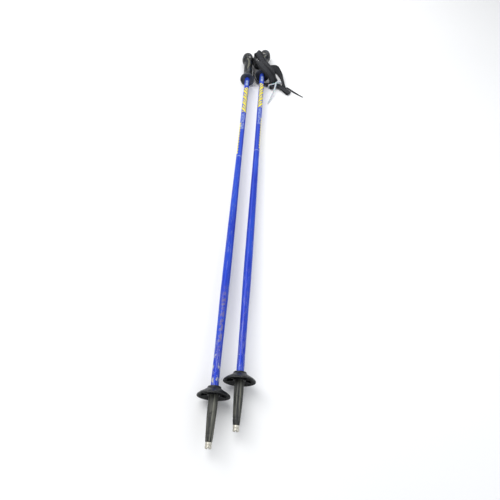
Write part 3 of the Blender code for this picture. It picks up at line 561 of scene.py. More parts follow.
def on_curve(before, start, end, after, t):
    """The point at t, 0 to 1, on the Catmull-Rom curve from start to end."""
    return 0.5 * (
        2 * start
        + (end - before) * t
        + (2 * before - 5 * start + 4 * end - after) * t**2
        + (3 * start - before - 3 * end + after) * t**3
    )


def smooth_table(table, steps):
    """Rows on a smooth curve through the table's rows."""
    rows = np.array(table, float)
    padded = np.vstack([2 * rows[0] - rows[1], rows, 2 * rows[-1] - rows[-2]])
    result = [
        on_curve(*span, step / steps)
        for span in zip(padded, padded[1:], padded[2:], padded[3:])
        for step in range(steps)
    ]
    return np.array([*result, rows[-1]])


def object_from(name, points, faces, uvs=None):
    mesh = bpy.data.meshes.new(name)
    mesh.from_pydata(np.asarray(points, float).tolist(), [], faces)
    if uvs is not None:
        layer = mesh.uv_layers.new(name="UVMap")
        corners = np.empty(len(mesh.loops), np.int32)
        mesh.loops.foreach_get("vertex_index", corners)
        layer.data.foreach_set("uv", np.asarray(uvs, np.float32)[corners].ravel())
    return linked(name, mesh)


def face_outwards(obj):
    data = bmesh.new()
    data.from_mesh(obj.data)
    bmesh.ops.recalc_face_normals(data, faces=data.faces)
    data.to_mesh(obj.data)
    data.free()
    return obj


def shade(obj, degrees=35.0):
    obj.data.shade_smooth()
    obj.data.set_sharp_from_angle(angle=math.radians(degrees))
    return obj


def loft(name, rings, loop=False, uvs=None):
    """A closed surface through rings of equally many points: capped, or joined into a loop."""
    rings = np.asarray(rings, float)
    count, width = rings.shape[:2]
    faces = []
    for row in range(count if loop else count - 1):
        start, after = row * width, ((row + 1) % count) * width
        for place in range(width):
            beside = (place + 1) % width
            faces.append((start + place, start + beside, after + beside, after + place))
    if not loop:
        faces.append(tuple(range(width))[::-1])
        faces.append(tuple(range((count - 1) * width, count * width)))
    flat_uvs = None if uvs is None else np.asarray(uvs, float).reshape(-1, 2)
    return face_outwards(object_from(name, rings.reshape(-1, 3), faces, flat_uvs))


def filleted(outline, steps=4):
    """Rounds the corners of a profile of (radius, height, fillet) points with short curves."""
    points = [np.array(entry[:2], float) for entry in outline]
    result = [points[0]]
    for before, corner, after, entry in zip(points, points[1:], points[2:], outline[1:]):
        size = entry[2] if len(entry) > 2 else 0.0
        into, out = before - corner, after - corner
        reach = min(size, 0.45 * np.linalg.norm(into), 0.45 * np.linalg.norm(out))
        if reach <= 0.0:
            result.append(corner)
            continue
        start = corner + into / np.linalg.norm(into) * reach
        end = corner + out / np.linalg.norm(out) * reach
        for step in range(steps + 1):
            t = step / steps
            result.append((1 - t) ** 2 * start + 2 * t * (1 - t) * corner + t**2 * end)
    result.append(points[-1])
    return result


def turned(name, outline, sides=72, shape=None):
    """A turned piece. Its outline is a list of (radius, height, fillet) points, with both ends on the axis,
    or else joined to each other. shape may move the points of the finished rings."""
    profile = np.array(filleted(outline))
    on_axis = profile[0, 0] < 1e-6
    if on_axis:
        profile = profile[1:-1]
    turns = turns_round(sides)
    rings = np.stack(
        [
            profile[:, :1] * np.cos(turns),
            profile[:, :1] * np.sin(turns),
            np.repeat(profile[:, 1:], sides, axis=1),
        ],
        axis=2,
    )
    if shape is not None:
        rings = shape(rings)
    return shade(loft(name, rings, loop=not on_axis))


def cylinder(name, radius, low, high, sides=40):
    """A plain round cutter along Z."""
    return turned(name, ((0, low), (radius, low), (radius, high), (0, high)), sides)


def block(name, low, high, rounding=0.0, segments=3):
    low, high = Vector(low), Vector(high)
    data = bmesh.new()
    bmesh.ops.create_cube(data, size=1.0)
    size = high - low
    data.transform(Matrix.Translation((low + high) / 2) @ Matrix.Diagonal((*size, 1.0)))
    if rounding:
        bmesh.ops.bevel(
            data, geom=data.edges[:], offset=rounding, segments=segments, profile=0.5, affect="EDGES"
        )
    mesh = bpy.data.meshes.new(name)
    data.to_mesh(mesh)
    data.free()
    return linked(name, mesh)


def moved(obj, matrix):
    obj.data.transform(matrix)
    return obj


def combine(obj, others, operation="DIFFERENCE"):
    """Cuts the others from the object, or joins them to it, for good."""
    for other in others:
        modifier = obj.modifiers.new(operation.title(), "BOOLEAN")
        modifier.operation = operation
        modifier.solver = "EXACT"
        modifier.object = other
    bpy.context.view_layer.update()
    graph = bpy.context.evaluated_depsgraph_get()
    mesh = bpy.data.meshes.new_from_object(obj.evaluated_get(graph))
    obj.modifiers.clear()
    obj.data = mesh
    for other in others:
        bpy.data.objects.remove(other, do_unlink=True)
    return shade(obj)


def finish_piece(obj, material, body, nodes, matrix=None):
    """Gives a piece its material and place, hangs it on its body, and hides the CAD nodes it stands for."""
    obj.data.materials.clear()
    obj.data.materials.append(MATERIALS[material])
    if matrix is not None:
        obj.matrix_world = matrix
    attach(obj, body)
    if nodes:
        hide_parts(*nodes)


def finish_on_pole(obj, side, material, node, body="pole"):
    """The same for a piece modelled upright in its pole's frame."""
    finish_piece(obj, material, f"{side}_{body}", [f"{side}_{node}"], POLE_MATRIX[side])


# ---- Shaft, ferrule, tip and basket ----


def make_shaft(side):
    heights = np.arange(SHAFT_PROFILE[0][0], SHAFT_PROFILE[-1][0], 0.004)
    smooth = smooth_table(SHAFT_PROFILE, 8)
    widest = max(radius for _, radius in SHAFT_PROFILE)
    radii = np.minimum(np.interp(heights, smooth[:, 0], smooth[:, 1]), widest)
    outer = [(radius, height) for height, radius in zip(heights, radii)][::-1]
    inner = [(radius - SHAFT_WALL, height) for height, radius in SHAFT_PROFILE]
    shaft = turned(f"{side}_lacquered_shaft", outer + inner, 64)
    finish_on_pole(shaft, side, f"{side}_lacquer", "shaft")


def make_ferrule(side):
    bore = 0.0076
    outline = (
        (bore, FERRULE_TOP),
        (FERRULE_SEAT_RADIUS, FERRULE_TOP, 0.0006),
        (FERRULE_SEAT_RADIUS, FERRULE_SEAT, 0.0012),
        (0.0089, 0.0700, 0.004),
        (0.0088, 0.0580, 0.008),
        (0.0078, 0.0360, 0.008),
        (0.0071, 0.0230, 0.003),
        (0.0067, 0.0218, 0.0008),
        (0.0069, 0.0206, 0.0006),
        (0.0068, 0.0172, 0.0006),
        (0.0065, 0.0160, 0.0006),
        (FERRULE_END_RADIUS + 0.0002, FERRULE_BOTTOM + 0.0012, 0.0006),
        (FERRULE_END_RADIUS - 0.0004, FERRULE_BOTTOM, 0.0004),
        (0.0033, FERRULE_BOTTOM, 0.0002),
        (0.0033, 0.0265, 0.0002),
        (0.0020, 0.0300),
        (0.0050, 0.0450),
    )
    facing = UPPER_FLANK[side]

    def grooves(rings):
        """Four shallow flutes along the taper, and a slanted nick on the upper side."""
        x, y, height = rings[..., 0], rings[..., 1], rings[..., 2]
        turn = np.arctan2(x, y * facing)
        outside = np.hypot(x, y) > 0.0052
        along = ramp(height, 0.024, 0.006) * ramp(height, 0.079, -0.006)
        flute = np.clip(1 - np.abs(np.mod(turn + math.pi / 4, math.pi / 2) - math.pi / 4) / 0.20, 0, 1)
        depth = 0.00045 * along * flute**0.7
        slant = np.abs(height - 0.0560 - 0.0045 * turn) / 0.0016
        nick = 0.0007 * np.clip(1 - slant, 0, 1) * np.clip(1.05 - np.abs(turn + 0.1), 0, 1)
        scale = 1 - np.where(outside, depth + nick, 0.0) / np.hypot(x, y)
        rings[..., 0] *= scale
        rings[..., 1] *= scale
        return rings

    # The flutes need rings along the long runs too.
    dense = [outline[0]]
    for first, second in zip(outline, outline[1:]):
        if first[1] - second[1] > 0.006:
            for step in range(1, 12):
                t = step / 12
                dense.append((first[0] * (1 - t) + second[0] * t, first[1] * (1 - t) + second[1] * t, 0.002))
        dense.append(second)
    ferrule = turned(f"{side}_worn_ferrule", dense, 96, grooves)
    finish_on_pole(ferrule, side, "ferrule", "ferrule")


def make_tip(side):
    shoulder = FERRULE_BOTTOM - GAP
    outline = (
        (0.0, 0.0262),
        (0.0030, 0.0262, 0.0004),
        (0.0030, shoulder, 0.0002),
        (TIP_RADIUS, shoulder, 0.0004),
        (TIP_RADIUS, 0.0062, 0.0002),
        (TIP_RADIUS - 0.0004, 0.0058, 0.0002),
        (TIP_RADIUS - 0.0004, 0.0051, 0.0002),
        (TIP_RADIUS, 0.0047, 0.0002),
        (TIP_RADIUS, 0.0009, 0.0004),
        (TIP_RADIUS - 0.0005, 0.0, 0.0003),
        (TIP_RADIUS - 0.0014, 0.0, 0.0003),
        (0.0, 0.0040),
    )
    tip = turned(f"{side}_steel_tip", outline, 64)
    reach, half, depth = 0.008, 0.0011, 0.0020
    notches = [
        block("notch_x", (-reach, -half, -0.001), (reach, half, depth)),
        block("notch_y", (-half, -reach, -0.001), (half, reach, depth)),
    ]
    combine(tip, notches)
    finish_on_pole(tip, side, "tip", "tip")


def make_basket(side):
    bore = FERRULE_SEAT_RADIUS + GAP
    outline = (
        (bore, 0.1020, 0.0003),
        (bore + 0.0005, 0.1025, 0.0003),
        (0.0118, 0.1025, 0.0005),
        (0.0125, 0.1018, 0.0006),
        (0.0127, 0.0998, 0.0008),
        (0.0138, 0.0986, 0.0012),
        (0.0190, 0.0950, 0.004),
        (0.0262, 0.0909, 0.0012),
        (0.0264, 0.0905, 0.0003),
        (0.0297, 0.0879, 0.0016),
        (BASKET_RADIUS, 0.0864, 0.0008),
        (BASKET_RADIUS, 0.0850, 0.0006),
        (0.0298, 0.0846, 0.0004),
        (0.0290, 0.0852, 0.0004),
        (0.0262, 0.0882, 0.002),
        (0.0186, 0.0928, 0.002),
        (0.0132, 0.0958, 0.0006),
        (0.0118, 0.0945, 0.0006),
        (0.0118, 0.0868, 0.0004),
        (bore, 0.0868, 0.0002),
        (bore, 0.1000),
    )
    basket = turned(f"{side}_ribbed_basket", outline, 120)
    rib_outline = ((0.0112, 0.0878), (0.0250, 0.0872), (0.0268, 0.0889), (0.0187, 0.0940), (0.0112, 0.0975))
    half = 0.0008
    ribs = []
    for index in range(BASKET_RIBS):
        faces = [[(radius, offset, height) for radius, height in rib_outline] for offset in (-half, half)]
        rib = loft(f"rib_{index}", faces)
        ribs.append(moved(rib, Matrix.Rotation(math.tau * (index + 0.5) / BASKET_RIBS, 4, "Z")))
    combine(basket, ribs, "UNION")
    finish_on_pole(basket, side, "basket", "basket", "basket_ring")


# ---- Grip ----

SECTION_ROWS = smooth_table(GRIP_SECTIONS, 7)
GRIP_TURNS = turns_round(120)
NECK_BOTTOM = 1.0395
NECK_TOP = 1.1010
NECK_GROOVE_PITCH = 0.0026
FLANGE_NOTCHES = 60
INLAY_RIDGE_PITCH = 0.0031


def section_at(height):
    """Centre x, half width x and half depth y of the grip at a height or heights."""
    return (np.interp(height, SECTION_ROWS[:, 0], SECTION_ROWS[:, column]) for column in (1, 2, 3))


def grip_rings(heights, inset):
    """Rings round the grip at some heights. inset has one figure for each ring, or for each point."""
    centre, half_x, half_y = (values[:, None] for values in section_at(heights))
    x = centre + (half_x - inset) * np.cos(GRIP_TURNS)
    y = (half_y - inset) * np.sin(GRIP_TURNS)
    return np.stack([x, y, np.repeat(heights[:, None], len(GRIP_TURNS), axis=1)], axis=2)


def grip_texture(height, turn):
    """How far the surface is cut in: fine grooves on the narrow sides of the neck, notches on the flange."""
    on_neck = ramp(height, NECK_BOTTOM, 0.003) * ramp(height, NECK_TOP, -0.003)
    on_side = ramp(np.abs(np.cos(turn)), 0.62, 0.12)
    groove = 0.5 - 0.5 * np.cos(math.tau * height / NECK_GROOVE_PITCH)
    on_rim = ramp(height, FLANGE_HEIGHT + 0.0030, 0.0006) * ramp(height, 1.0262, -0.0006)
    notch = 0.5 - 0.5 * np.cos(turn * FLANGE_NOTCHES)
    return 0.00032 * on_neck * on_side * groove + 0.00025 * on_rim * notch


def inlay_outline(grow):
    rows = smooth_table(INLAY_SPINE, 6)
    right = [(x + half + grow, height) for height, x, half in rows]
    left = [(x - half - grow, height) for height, x, half in rows]
    return right + left[::-1]


def make_grip(side):
    head = NECK_TOP + 0.0005
    heights = np.concatenate(
        [
            SECTION_ROWS[SECTION_ROWS[:, 0] < NECK_BOTTOM, 0],
            np.arange(NECK_BOTTOM, head, NECK_GROOVE_PITCH / 5),
            np.arange(head, CAP_SEAM_HEIGHT - 0.0012, 0.0009),
        ]
    )
    rings = grip_rings(heights, grip_texture(heights[:, None], GRIP_TURNS))
    # The rounded edge at the cap's seam.
    closing = grip_rings(np.full(2, CAP_SEAM_HEIGHT), np.array([[0.0], [0.0004]]))
    closing[0, :, 2] -= 0.0009
    grip = loft(f"{side}_moulded_grip", np.concatenate([rings, closing]))

    below = FLANGE_HEIGHT - 0.001
    hollow = FLANGE_HEIGHT + 0.0028
    underside = ((0, below), (0.0184, below, 0.0), (0.0155, hollow, 0.0012), (0, hollow))
    across = Matrix.Rotation(math.radians(90), 4, "X")
    cutters = [
        turned("underside", underside, 96),
        cylinder("bore", 0.0074, below, 1.1082, 48),
        block("slot", (-0.0064, -0.0110, PIN_HEIGHT - 0.0070), (0.020, 0.0110, PIN_HEIGHT + 0.0070)),
    ]
    for facing in (-1, 1):
        recess = cylinder("recess", SCREW_RECESS_RADIUS, SCREW_RECESS_FLOOR, 0.020, 48)
        turn = across if facing < 0 else across.inverted()
        cutters.append(moved(recess, Matrix.Translation((0, 0, PIN_HEIGHT)) @ turn))
        outline = inlay_outline(GAP)
        prism = [[(x, facing * depth, height) for x, height in outline] for depth in (INLAY_FLOOR, 0.020)]
        cutters.append(loft("inlay_recess", prism))
    combine(grip, cutters)
    finish_on_pole(grip, side, "grip", "grip")


def make_cap(side):
    """The head's cap: a rounded lip at the seam, a shallow ring groove, and a flat crown."""
    low = CAP_SEAM_HEIGHT + GAP
    above = (SECTION_ROWS[:, 0] > low + 0.0006) & (SECTION_ROWS[:, 0] < POLE_LENGTH)
    heights = np.array([low, low + 0.0006, *SECTION_ROWS[above, 0], POLE_LENGTH])
    inset = np.zeros((len(heights), 1))
    inset[0] = 0.0005
    cap = loft(f"{side}_domed_cap", grip_rings(heights, inset))
    groove = turned(
        "groove",
        (
            (0.0040, POLE_LENGTH - 0.0003, 0.0001),
            (0.0046, POLE_LENGTH - 0.0003, 0.0001),
            (0.0046, POLE_LENGTH + 0.001),
            (0.0040, POLE_LENGTH + 0.001),
        ),
        72,
    )
    combine(cap, [moved(groove, Matrix.Translation((GRIP_SECTIONS[-1][1], 0, 0)))])
    finish_on_pole(cap, side, "cap", "grip_cap")


def make_inlays(side):
    """Curved soft inlays, domed and ribbed, one on each flank."""
    for facing, place in ((-1, "screw_side"), (1, "nut_side")):
        rows = smooth_table(INLAY_SPINE, 24)
        offsets = np.linspace(-1.0, 1.0, 19)
        rings = []
        for index, (height, x, half) in enumerate(rows):
            centre, half_x, half_y = section_at(height)
            end = min(index, len(rows) - 1 - index) / 10
            crown = (1 - np.abs(offsets) ** 5) * min(1.0, end)
            ridge = 0.5 + 0.5 * np.cos(math.tau * (height + 0.55 * half * offsets) / INLAY_RIDGE_PITCH)
            proud = INLAY_PROUD * crown * (0.45 + 0.5 * ridge) - 0.0002 * (1 - crown)
            place_x = x + half * offsets
            root = np.clip(1 - ((place_x - centre) / (half_x + proud)) ** 2, 0.0, 1.0)
            depth = (half_y + proud) * np.sqrt(root)
            top = [(px, facing * py, height) for px, py in zip(place_x, depth)]
            low = [(px, facing * INLAY_FLOOR, height) for px in place_x[::-1]]
            rings.append(top + low)
        inlay = shade(loft(f"{side}_ribbed_inlay_{place}", rings), 50.0)
        finish_on_pole(inlay, side, "inlay", f"grip_inlay_{place}")


def make_fixing(side):
    """Screw with a domed cross head, nut, bush and shaft plug."""
    seat = SCREW_RECESS_FLOOR + GAP
    to_pin = Matrix.Translation((0, 0, PIN_HEIGHT)) @ Matrix.Rotation(math.radians(90), 4, "X")
    outline = (
        (0.0, -0.0142),
        (0.0024, -0.0142, 0.0004),
        (0.0024, seat, 0.0001),
        (SCREW_HEAD_RADIUS, seat, 0.0003),
        (SCREW_HEAD_RADIUS, seat + 0.0005, 0.0004),
        (0.0026, seat + 0.0013, 0.0012),
        (0.0, seat + 0.0014),
    )
    screw = turned(f"{side}_cross_head_screw", outline, 64)
    reach, half, floor = 0.0025, 0.00045, seat + 0.0005
    cross = [
        block("cross_x", (-reach, -half, floor), (reach, half, 0.020)),
        block("cross_y", (-half, -reach, floor), (half, reach, 0.020)),
    ]
    combine(screw, cross)
    moved(screw, to_pin)
    finish_on_pole(screw, side, "screw", "strap_screw")

    nut = turned(
        f"{side}_hex_nut",
        (
            (0.0028, -seat, 0.0002),
            (NUT_RADIUS - 0.0003, -seat, 0.0002),
            (NUT_RADIUS, -seat - 0.0003, 0.0001),
            (NUT_RADIUS, -seat - 0.0011, 0.0001),
            (NUT_RADIUS - 0.0004, -seat - 0.0014, 0.0002),
            (0.0028, -seat - 0.0014),
        ),
        6,
    )
    moved(shade(nut, 20.0), to_pin)
    finish_on_pole(nut, side, "screw", "strap_nut")

    bush = turned(
        f"{side}_turned_bush",
        (
            (0.0027, 0.0105, 0.0002),
            (0.0033, 0.0107, 0.0002),
            (0.0035, 0.0103, 0.0002),
            (0.0035, -0.0103, 0.0002),
            (0.0033, -0.0107, 0.0002),
            (0.0027, -0.0105),
        ),
        48,
    )
    moved(bush, to_pin)
    finish_on_pole(bush, side, "bush", "strap_bush")

    top, radius = SHAFT_PROFILE[-1]
    stem = radius - SHAFT_WALL - GAP
    plug = turned(
        f"{side}_ribbed_plug",
        (
            (0.0, top + 0.0018),
            (radius - GAP, top + 0.0018, 0.0004),
            (radius - GAP, top + GAP, 0.0002),
            (stem, top + GAP, 0.0002),
            (stem, top - 0.004, 0.0002),
            (stem - 0.0004, top - 0.0045, 0.0002),
            (stem, top - 0.005, 0.0002),
            (stem, top - 0.014, 0.0002),
            (stem - 0.0008, top - 0.016, 0.0002),
            (0.0, top - 0.016),
        ),
        48,
    )
    finish_on_pole(plug, side, "bush", "shaft_plug")


# ---- Straps ----


def layout_shift():
    """From the straps' own frame, with its origin under the left pole's tip, to the row frame."""
    along = Vector(joint("left_basket_spin")["axis"]).normalized()
    tip = STRAP_PIN["left"] - along * PIN_HEIGHT
    return Vector((tip.x, tip.y, 0.0))


SHIFT = layout_shift()
PIN = {side: STRAP_PIN[side] - SHIFT for side in SIDES}
TIE_CENTRE = Vector((0.0866, 1.0337, 0.0073))
TIE_ALONG = Vector((0.51, -0.86, 0.0)).normalized()
TIE_ACROSS = Vector((0.86, 0.51, 0.0)).normalized()


def station(x, y, z, across, width=STRAP_WIDTH):
    return (x, y, z, *Vector(across).normalized(), width)


def tie_place(along, across, height):
    point = TIE_CENTRE + TIE_ALONG * along + TIE_ACROSS * across
    return Vector((point.x, point.y, height))


def wrap(pin, start_degrees, end_degrees, count=9):
    span = end_degrees - start_degrees
    turns = [math.radians(start_degrees + span * index / (count - 1)) for index in range(count)]
    places = [pin + Vector((math.cos(turn), math.sin(turn), 0.0)) * WRAP_RADIUS for turn in turns]
    return [station(*place, UP) for place in places]


def hairpin(end, ahead, across, top, bottom, width, count=5):
    middle, radius = (top + bottom) / 2, (top - bottom) / 2
    ahead = Vector((*ahead, 0.0)).normalized()
    turns = [math.pi / 2 - math.pi * index / (count - 1) for index in range(count)]
    centre = Vector((*end, middle))
    places = [centre + (ahead * math.cos(turn) + UP * math.sin(turn)) * radius for turn in turns]
    return [station(*place, (*across, 0.0), width) for place in places]


def left_strap_route():
    pin = PIN["left"]
    upper, lower, height = pin.y + WRAP_RADIUS, pin.y - WRAP_RADIUS, pin.z
    out = [
        station(0.0120, upper, height, UP),
        station(0.0190, upper, height, UP),
        station(0.0212, upper, height, UP),
        station(0.0228, upper - 0.0010, height + 0.0014, (-0.05, 0.1, 1)),
        station(0.0216, 1.1150, 0.0288, (-0.25, 0.3, 0.92)),
        station(0.0190, 1.1060, 0.0368, (-0.4, 0.2, 0.9)),
        station(0.0200, 1.0965, 0.0423, (-0.7, 0.0, 0.7), 0.021),
        station(0.0250, 1.0875, 0.0450, (-0.88, -0.25, 0.35), 0.023),
        station(0.0350, 1.0733, 0.0462, (-0.82, -0.52, 0.0), LOOP_WIDTH),
        station(0.0455, 1.0560, 0.0472, (-0.74, -0.62, -0.16), LOOP_WIDTH),
        station(0.0600, 1.0430, 0.0425, (-0.70, -0.68, -0.1), LOOP_WIDTH),
        station(0.0735, 1.0390, 0.0280, (-0.75, -0.65, 0.0), 0.025),
        station(0.0780, 1.0360, 0.0165, (-0.80, -0.6, 0.0), 0.023),
        station(*tie_place(-0.0050, -0.0088, 0.0104), -TIE_ACROSS, 0.022),
        station(*tie_place(0.0020, -0.0090, 0.0094), -TIE_ACROSS, 0.021),
    ]
    end = tie_place(0.0070, -0.0092, 0.0)
    fold = hairpin(end.xy, TIE_ALONG.xy, -TIE_ACROSS.xy, 0.0090, 0.0034, 0.020)
    under = [station(*tie_place(along, -0.0088, 0.0034), -TIE_ACROSS, 0.019) for along in (0.002, -0.004)]
    back = [
        station(0.0690, 1.0370, 0.0040, (-0.3, -0.93, 0.15)),
        station(0.0570, 1.0368, 0.0052, (-0.15, -0.9, 0.35)),
        station(0.0440, 1.0380, 0.0064, (-0.25, -0.85, 0.45)),
        station(0.0330, 1.0415, 0.0070, (-0.4, -0.75, 0.5)),
        station(0.0240, 1.0510, 0.0095, (-0.45, -0.4, 0.8)),
        station(0.0195, 1.0620, 0.0135, (-0.1, -0.15, 0.98)),
        station(0.0176, 1.0760, 0.0155, UP),
        station(0.0172, 1.0960, 0.0180, UP),
        station(0.0166, 1.1080, height - 0.0004, UP),
        station(0.0146, lower - 0.0018, height, UP),
        station(0.0110, lower, height, UP),
    ]
    return wrap(pin, 270, 90) + out + fold + under + back


def right_strap_route():
    pin = PIN["right"]
    upper, lower, height = pin.y + WRAP_RADIUS, pin.y - WRAP_RADIUS, pin.z
    out = [
        station(0.0360, upper, height, UP),
        station(0.0280, upper, height, UP),
        station(0.0235, upper, height, UP),
        station(0.0207, upper, height, UP),
        station(0.0190, upper - 0.0006, height + 0.0022, (0.05, 0.1, 0.98)),
        station(0.0196, 1.1500, 0.0320, (0.55, 0.35, 0.75), 0.022),
        station(0.0240, 1.1375, 0.0420, (0.85, 0.45, 0.2), 0.022),
        station(0.0342, 1.1165, 0.0400, (0.82, 0.55, 0.08), 0.022),
        station(0.0440, 1.0975, 0.0380, (0.78, 0.6, 0.05), 0.023),
        station(0.0575, 1.0780, 0.0395, (0.76, 0.62, -0.05), 0.023),
        station(0.0718, 1.0611, 0.0372, (0.78, 0.6, -0.15), 0.020),
        station(0.0824, 1.0492, 0.0215, (0.82, 0.56, 0.0), 0.0145),
        station(*tie_place(-0.0060, 0.0085, 0.0074), TIE_ACROSS, 0.019),
        station(*tie_place(0.0040, 0.0105, 0.0062), TIE_ACROSS, 0.018),
        station(0.1075, 1.0275, 0.0062, (0.72, 0.70, 0.0), 0.017),
        station(0.1190, 1.0180, 0.0064, (0.67, 0.74, 0.0), 0.017),
    ]
    fold = hairpin((0.1310, 1.0080), (0.74, -0.67), (0.67, 0.74), 0.0066, 0.0026, 0.017)
    back = [
        station(0.1250, 1.0135, 0.0026, (0.67, 0.74, 0.0), 0.017),
        station(0.1180, 1.0215, 0.0026, (0.75, 0.66, 0.0), 0.017),
        station(0.1135, 1.0335, 0.0062, (0.55, 0.25, 0.75), 0.015),
        station(0.1110, 1.0500, 0.0100, (0.1, 0.02, 0.99), 0.018),
        station(0.1062, 1.0730, 0.0118, (0.12, 0.03, 0.99)),
        station(0.0975, 1.0945, 0.0122, (0.28, 0.12, 0.95), 0.021),
        station(0.0865, 1.1120, 0.0115, (0.45, 0.5, 0.72), 0.022),
        station(0.0745, 1.1200, 0.0078, (0.2, 0.85, 0.45), 0.021),
        station(0.0620, 1.1205, 0.0040, (0.0, 0.98, 0.15)),
        station(0.0500, 1.1190, 0.0028, (0.0, 1.0, 0.0)),
        station(0.0340, 1.1185, 0.0034, (0.4, 0.9, 0.05)),
        station(0.0258, 1.1265, 0.0090, (0.3, 0.35, 0.88)),
        station(0.0255, 1.1370, 0.0165, (0.05, 0.1, 0.99)),
        station(0.0280, lower - 0.0008, height, UP),
        station(0.0340, lower, height, UP),
    ]
    return wrap(pin, -90, 90) + out + fold + back


DIRECTION_RUN = 0.0027
HERRINGBONE_WIDTH = 0.0070
YARN_PITCH = 0.0024
STITCH_PITCH = 0.0032
STITCH_SIZE = (0.0023, 0.00026, 0.00020)


def dense_route(stations, spacing=0.0006):
    """The route as arrays: middle line, width direction, face normal, width and distance along it."""
    rows = np.array(stations, float)
    padded = np.vstack([rows[0], rows, rows[-1]])
    made = []
    for before, start, end, after in zip(padded, padded[1:], padded[2:], padded[3:]):
        steps = max(1, round(float(np.linalg.norm(end[:3] - start[:3])) / spacing))
        t = (np.arange(steps) / steps)[:, None]
        made.append(on_curve(before, start, end, after, t))
    path = np.vstack([*made, rows[-1:]])
    points = path[:, :3] + np.array(SHIFT)
    along = np.gradient(points, axis=0)
    along /= np.linalg.norm(along, axis=1, keepdims=True)
    # The direction is evened out over a short run, so that the faces don't flare where the route bends.
    reach = max(1, round(DIRECTION_RUN / spacing))
    padded_along = np.pad(along, ((reach, reach), (0, 0)), mode="edge")
    along = sum(padded_along[start : start + len(along)] for start in range(2 * reach + 1))
    along /= np.linalg.norm(along, axis=1, keepdims=True)
    across = path[:, 3:6] - along * np.sum(path[:, 3:6] * along, axis=1, keepdims=True)
    across /= np.linalg.norm(across, axis=1, keepdims=True)
    normal = np.cross(along, across)
    distance = np.concatenate([[0.0], np.cumsum(np.linalg.norm(np.diff(points, axis=0), axis=1))])
    return points, along, across, normal, path[:, 6], distance


def woven(name, stations, thickness, taper=None, columns=34):
    """A strap with rolled selvedges and raised herringbone yarns on both faces."""
    points, along, across, normal, width, distance = dense_route(stations)
    if taper is not None:
        width = width * taper(distance / distance[-1])
    spread = np.linspace(-1.0, 1.0, columns)
    offset = np.sign(spread) * (1 - (1 - np.abs(spread)) ** 1.15)
    half = width[:, None] / 2
    place = half * offset[None, :]
    edge_distance = half - np.abs(place)
    roll = np.clip(edge_distance / (thickness / 2), 0.0, 1.0)
    body = (thickness / 2 - 0.00012) * np.sqrt(np.clip(1 - (1 - roll) ** 2, 0.0, 1.0))
    selvedge = 0.00012 * np.exp(-(((edge_distance - 0.0010) / 0.0006) ** 2))
    zigzag = np.abs(np.mod(place, HERRINGBONE_WIDTH) - HERRINGBONE_WIDTH / 2)
    yarn = np.sin(math.tau * (distance[:, None] + zigzag) / YARN_PITCH)
    raised = 0.00008 * yarn * np.clip(edge_distance / 0.0016, 0, 1)
    top = body + selvedge + raised
    low = -(body + selvedge - raised)
    width_points = points[:, None, :] + across[:, None, :] * place[..., None]
    upper = width_points + normal[:, None, :] * top[..., None]
    lower = width_points + normal[:, None, :] * low[..., None]
    rings = np.concatenate([upper, lower[:, -2:0:-1, :]], axis=1)
    along_uv = np.repeat(distance[:, None], columns, axis=1)
    upper_uv = np.stack([place, along_uv], axis=2)
    uvs = np.concatenate([upper_uv, upper_uv[:, -2:0:-1, :]], axis=1)
    return shade(loft(name, rings, uvs=uvs), 60.0)


def stitches(name, stations, rows, start, end):
    """Rows of raised stitches on both faces of a strap, from one distance along it to another."""
    points, along, across, normal, width, distance = dense_route(stations)
    sides = 6
    grain = []
    for lengthwise, size in ((-0.5, 0.15), (-0.25, 0.9), (0.25, 0.9), (0.5, 0.15)):
        grain += [(lengthwise, size * math.cos(turn), size * math.sin(turn)) for turn in turns_round(sides)]
    grain = np.array(grain) * np.array(STITCH_SIZE)
    grain_faces = []
    for first in range(0, len(grain) - sides, sides):
        for corner in range(sides):
            low, beside = first + corner, first + (corner + 1) % sides
            grain_faces.append((low, beside, beside + sides, low + sides))
    grain_faces.append(tuple(range(sides))[::-1])
    grain_faces.append(tuple(range(len(grain) - sides, len(grain))))
    vertices, faces = [], []
    for face in (-1, 1):
        for row in rows:
            for place in np.arange(start, end, STITCH_PITCH):
                index = int(np.searchsorted(distance, place))
                side = np.sign(row) * (width[index] / 2 - abs(row))
                centre = points[index] + across[index] * side + normal[index] * face * (STRAP_THICKNESS / 2)
                axes = np.stack([along[index], across[index], normal[index]])
                base = len(vertices)
                vertices.extend((grain @ axes + centre).tolist())
                faces.extend(tuple(base + corner for corner in corners) for corners in grain_faces)
    return shade(face_outwards(object_from(name, vertices, faces)))


def make_straps():
    for side, route in (("left", left_strap_route()), ("right", right_strap_route())):
        strap = woven(f"{side}_woven_strap", route, STRAP_THICKNESS)
        finish_piece(strap, "webbing", "tied_straps", [f"{side}_strap"])
        length = dense_route(route)[-1][-1]
        sewn = stitches(f"{side}_strap_stitching", route, (-0.0026, 0.0026), 0.075, length - 0.060)
        finish_piece(sewn, "thread", "tied_straps", [])
    tail_route = [
        station(0.1238, 1.0352, 0.0036, (0.45, 0.89, 0.0), TAIL_WIDTH),
        station(0.1325, 1.0310, 0.0030, (0.45, 0.89, 0.0), TAIL_WIDTH),
        station(0.1440, 1.0240, 0.0018, (0.45, 0.89, 0.0), TAIL_WIDTH),
        station(0.1600, 1.0135, 0.0013, (0.5, 0.87, 0.0), TAIL_WIDTH),
        station(0.1770, 1.0030, 0.0013, (0.5, 0.87, 0.0), TAIL_WIDTH),
    ]
    tail = woven("left_woven_tail", tail_route, TAIL_THICKNESS, lambda t: 1 - 0.65 * t**2, 20)
    finish_piece(tail, "webbing", "tied_straps", ["left_strap_tail"])


